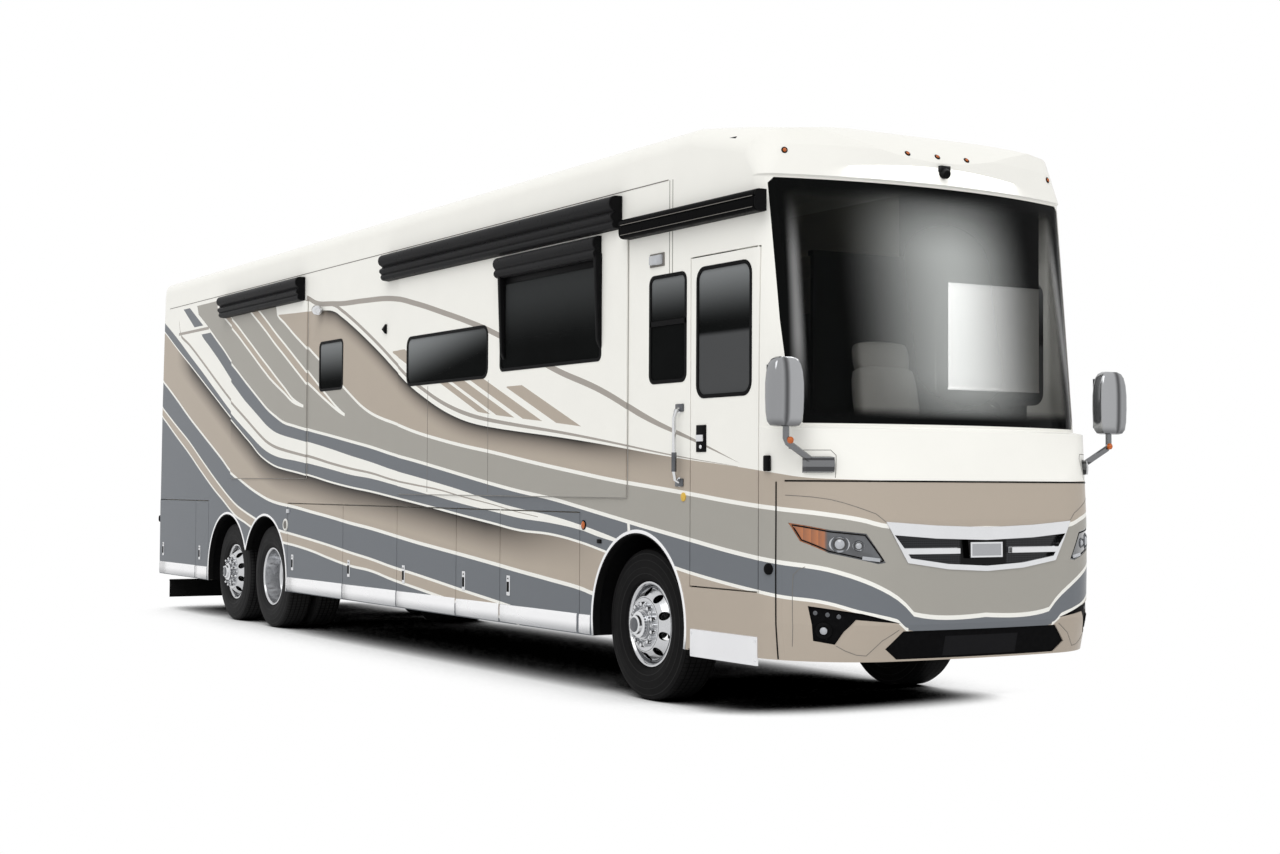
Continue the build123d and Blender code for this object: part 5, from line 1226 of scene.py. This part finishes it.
for name, side, face, s0, s1, bottom, section, body in CASES:
    face += CASE_GAP
    made_cases[name] = Shape().prism([(side * (face + out), bottom + up) for out, up in section], "s",
                                     s0 + CASE_END, s1 - CASE_END).piece(name, awning_case, body)
    ends = Shape()
    for s in (s0, s1 - CASE_END):
        ends.prism([(side * (face + max(out - 0.003, 0.0)), bottom + 0.002 + up * 0.985) for out, up in section],
                   "s", s, s + CASE_END)
    ends.piece(f"{name}_ends", black_plastic, body)
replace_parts(made_cases["topper_front"], "front_slide_awnings")
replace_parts(made_cases["topper_rear"], "rear_slide_awnings")
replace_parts(made_cases["topper_left"], "left_slide_awnings")
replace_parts(made_cases["door_awning_case"], "door_awning")
lines = Shape()
for z in ((3.3385, 3.3425), (3.268, 3.271)):
    lines.box((-1.3805, -1.375), (0.640, 2.297), z)
lines.piece("awning_lines", line_grey)

# ---------------------------------------------------------------- wheels
NUT_CIRCLE = 0.1429
NUTS = 10
HUB_COVER = ((0.092, -0.02), (0.092, 0.004), (0.084, 0.010), (0.070, 0.012), (0.066, 0.030), (0.054, 0.036))
HUB = ((0.052, 0.020), (0.052, 0.038), (0.044, 0.042), (0.016, 0.040))
# axle, its station, how far the nut covers' shoulder and tip stand out
for axle, middle, shoulder, tip in (("front", FRONT_AXLE, 0.030, 0.036), ("tag", TAG_AXLE, 0.048, 0.056)):
    for hand, side in BOTH:
        covers, tree = Shape(), skin(f"{axle}_rim_{hand}")
        for k in range(NUTS):
            turn = FULL_TURN * (k + 0.5) / NUTS
            s, z = middle + NUT_CIRCLE * math.cos(turn), AXLE_HEIGHT + NUT_CIRCLE * math.sin(turn)
            covers.turned([(0.019, -0.01), (0.019, 0.006), (0.016, 0.012), (0.014, shoulder), (0.006, tip)],
                          (side_hit(tree, side, s, z).x, s, z), (side, 0, 0), 12)
        hub = (side_hit(tree, side, middle, AXLE_HEIGHT).x, middle, AXLE_HEIGHT)
        covers.turned(HUB_COVER, hub, (side, 0, 0), 40)
        Shape().turned(HUB, hub, (side, 0, 0), 32).piece(f"{axle}_hub_{hand}", dark_chrome, f"{axle}_wheel_{hand}")
        covers.piece(f"{axle}_nut_covers_{hand}", chrome, f"{axle}_wheel_{hand}")


# ---------------------------------------------------------------- inside: wheel, seats, dash
def cushion(name, middle, half, lean=0.0, crown=0.22, body="coach"):
    """A stuffed block: rounded, crowned in the middle of each face, its corners drawn in."""
    mesh = bmesh.new()
    bmesh.ops.create_cube(mesh, size=2.0)
    bmesh.ops.subdivide_edges(mesh, edges=mesh.edges, cuts=9, use_grid_fill=True)
    for vertex in mesh.verts:
        x, y, z = vertex.co
        swell = [1 - drawn * (a ** 4 + b ** 4) / 2 + crown * puff * (1 - a ** 2) * (1 - b ** 2)
                 for drawn, puff, a, b in ((0.10, 0.125, y, z), (0.16, 1.0, x, z), (0.12, 0.5, x, y))]
        place = Vector(part * by * size for part, by, size in zip(vertex.co, swell, half))
        vertex.co = (Vector((middle[0], y_of(middle[1]), middle[2]))
                     + Matrix.Rotation(lean, 3, "X") @ place)
    bmesh.ops.smooth_vert(mesh, verts=mesh.verts, factor=0.5, use_axis_x=True, use_axis_y=True, use_axis_z=True)
    made = finished(name, mesh, leather)
    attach(made, body)
    return made


SEAT_STATION = 1.75
LEAN = math.radians(-10.2)
SEAT_POST = ((0.21, 0.0), (0.21, 0.02), (0.09, 0.05), (0.08, 0.20), (0.15, 0.24), (0.15, 0.26))
for name, x in (("driver", 0.80), ("guest", -0.72)):
    cushion(f"{name}_seat_base", (x, SEAT_STATION - 0.01, 1.745), (0.275, 0.300, 0.085), 0.0, 0.12)
    cushion(f"{name}_seat_back", (x, SEAT_STATION + 0.300, 2.105), (0.270, 0.078, 0.300), LEAN)
    cushion(f"{name}_seat_head", (x, SEAT_STATION + 0.372, 2.475), (0.235, 0.064, 0.112), LEAN)
    for end, aside in (("near", -0.300), ("far", 0.300)):
        cushion(f"{name}_seat_arm_{end}", (x + aside, SEAT_STATION + 0.06, 1.985), (0.038, 0.210, 0.036))
    post_piece = Shape().turned(SEAT_POST, (x, SEAT_STATION + 0.02, 1.352), (0, 0, 1), 32).box(
        about(x, 0.20), (SEAT_STATION - 0.22, SEAT_STATION + 0.26), (1.612, 1.668)).piece(
        f"{name}_seat_post", black_plastic, bevel=0.008)
    if name == "driver":
        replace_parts(post_piece, "seats")

# drawn-down visor ahead of the driver, glowing with painted light, and the dark curtain over it, a black sheet
# that puts painted shade in the view through the screen above the visor
CURTAIN_TOP = 3.600
VISOR_FOOT, VISOR_HEAD = VISOR_Z
Shape().box(VISOR_X, (VISOR_STATION, VISOR_STATION + 0.004), VISOR_Z).box(
    VISOR_X, (VISOR_STATION - 0.006, VISOR_STATION + 0.010), (VISOR_FOOT - 0.012, VISOR_FOOT)).piece(
    "driver_visor", visor, bevel=0.001)
Shape().box(VISOR_X, (VISOR_STATION + 0.001, VISOR_STATION + 0.003), (VISOR_HEAD - 0.004, CURTAIN_TOP)).box(
    VISOR_X, (VISOR_STATION - 0.008, VISOR_STATION + 0.012), about(VISOR_HEAD, 0.006)).piece(
    "visor_curtain", black_plastic)

WHEEL_MIDDLE = Vector((0.62, 1.34, 1.88))
WHEEL_WAY = Vector((0.0, 0.5, 0.86)).normalized()
WHEEL_ACROSS = Vector((1.0, 0.0, 0.0))
WHEEL_RADIUS = 0.215
rim = circle(WHEEL_MIDDLE, WHEEL_ACROSS, WHEEL_ACROSS.cross(WHEEL_WAY), WHEEL_RADIUS, 48)
steering = Shape().tube([(0.62, 1.18, 1.60), (0.62, 1.33, 1.86)], 0.03)
steering.tube(rim + rim[:1], 0.016, 10)
for spoke in (0, 24, 36):
    steering.tube([WHEEL_MIDDLE, rim[spoke]], 0.012, 8)
steering.turned([(0.05, -0.02), (0.055, 0.0), (0.04, 0.02)], WHEEL_MIDDLE, WHEEL_WAY)
steering.piece("steering_wheel", black_plastic)

# ---------------------------------------------------------------- camera
CAMERA_PLACE = Vector((-8.064, -16.097, 1.51))
CAMERA_YAW = math.radians(30.699)       # from +Y towards +X
CAMERA_PITCH = math.radians(1.749)
CAMERA_ROLL = math.radians(0.297)
FOCAL_PIXELS = 1896.21                  # at 1280 pixels across
PHOTO_WIDTH = 1280

camera_data = bpy.data.cameras.new("camera")
camera_data.sensor_width = 36.0
camera_data.lens = FOCAL_PIXELS / PHOTO_WIDTH * camera_data.sensor_width
camera_data.clip_end = 400.0
camera = placed("camera", camera_data)
forward = Vector((math.sin(CAMERA_YAW) * math.cos(CAMERA_PITCH), math.cos(CAMERA_YAW) * math.cos(CAMERA_PITCH),
                  math.sin(CAMERA_PITCH)))
level_right = Vector((math.cos(CAMERA_YAW), -math.sin(CAMERA_YAW), 0.0))
level_up = level_right.cross(forward)
right = level_right * math.cos(CAMERA_ROLL) + level_up * math.sin(CAMERA_ROLL)
up = level_up * math.cos(CAMERA_ROLL) - level_right * math.sin(CAMERA_ROLL)
camera.matrix_world = Matrix.Translation(CAMERA_PLACE) @ Matrix((right, up, -forward)).transposed().to_4x4()

# ---------------------------------------------------------------- studio
WORLD_LIGHT = 0.8             # what the object sees of the white world
FLOOR_HALF = 150.0
SHADOW_REACH = 2.2            # how far the floor looks for what covers it
SHADOW_RANGE = (0.12, 0.62)   # from black to white
SHADOW_POWER = 1.5
NOSE_STATIONS = (1.5, 0.7)    # between which painted light from ahead is added to the floor
NOSE_LIGHT = 0.54
AXLE_SHADE = 0.12             # painted shade added under the front axle


def rays(graph):
    """Whether the ray that sees a point is of a kind, by the kind's name."""
    return {name: Wire(output) for name, output in graph.node("ShaderNodeLightPath").outputs.items()}


scene = bpy.context.scene
scene.camera = camera
scene.view_settings.view_transform = "Standard"

scene.world = world = bpy.data.worlds.new("studio")
world.use_nodes = True
graph = Graph(world.node_tree)
seen = rays(graph)
white_world = seen["Is Camera Ray"] | seen["Is Transmission Ray"] | seen["Is Glossy Ray"]
background = graph.node("ShaderNodeBackground", {"Color": (1.0, 1.0, 1.0, 1.0),
                                                 "Strength": white_world.fit(1.0 - WORLD_LIGHT, WORLD_LIGHT)})
graph.node("ShaderNodeOutputWorld", {0: Wire(background.outputs[0])})

sun_data = bpy.data.lights.new("key", "SUN")
sun_data.energy = 1.0
sun_data.angle = math.radians(40)
placed("key", sun_data).rotation_euler = Vector((-0.55, -0.55, 0.9)).to_track_quat("Z", "Y").to_euler()

cabin_data = bpy.data.lights.new("cabin", "AREA")
cabin_data.energy = 34.0
cabin_data.size = 1.4
cabin = placed("cabin", cabin_data)
cabin.location = (0.0, y_of(0.95), 3.35)
cabin.rotation_euler = (math.radians(-28), 0.0, 0.0)
cabin.visible_camera = False

floor_mesh = bpy.data.meshes.new("floor")
floor_mesh.from_pydata([(x * FLOOR_HALF, y * FLOOR_HALF, 0) for x, y in ((-1, -1), (1, -1), (1, 1), (-1, 1))], [],
                       [(0, 1, 2, 3)])
floor = placed("floor", floor_mesh)
floor_material = bpy.data.materials.new("studio_floor")
floor_material.use_nodes = True
graph = Graph(floor_material.node_tree)
x, y, z = graph.axes()
station = y + HALF_LENGTH
pale = mix(graph.noise(0.8, 3.0) * 0.04, (0.87, 0.87, 0.87, 1.0), (0.7, 0.7, 0.7, 1.0))
diffuse = graph.node("ShaderNodeBsdfDiffuse", {"Color": pale})
# for camera and glossy rays the floor is an emission: white, with a painted shadow from the occlusion node,
# painted light near the nose and painted shade under the front axle
covered = graph.node("ShaderNodeAmbientOcclusion", {"Distance": SHADOW_REACH}, samples=16)
nose_light = round_step(station, *NOSE_STATIONS).math("MULTIPLY_ADD", NOSE_LIGHT, Wire(covered.outputs["AO"]))
axle_shade = (round_step(station, 1.1, 1.7) * round_step(station, 3.5, 2.9) * round_step(abs(x), 1.2, 0.8)
              * AXLE_SHADE)
light = ramp(nose_light - axle_shade, *SHADOW_RANGE) ** SHADOW_POWER
painted_light = graph.node("ShaderNodeEmission", {"Strength": light})
seen = rays(graph)
choose = graph.node("ShaderNodeMixShader", {0: seen["Is Camera Ray"] | seen["Is Glossy Ray"],
                                            1: Wire(diffuse.outputs[0]), 2: Wire(painted_light.outputs[0])})
graph.node("ShaderNodeOutputMaterial", {0: Wire(choose.outputs[0])})
floor_mesh.materials.append(floor_material)
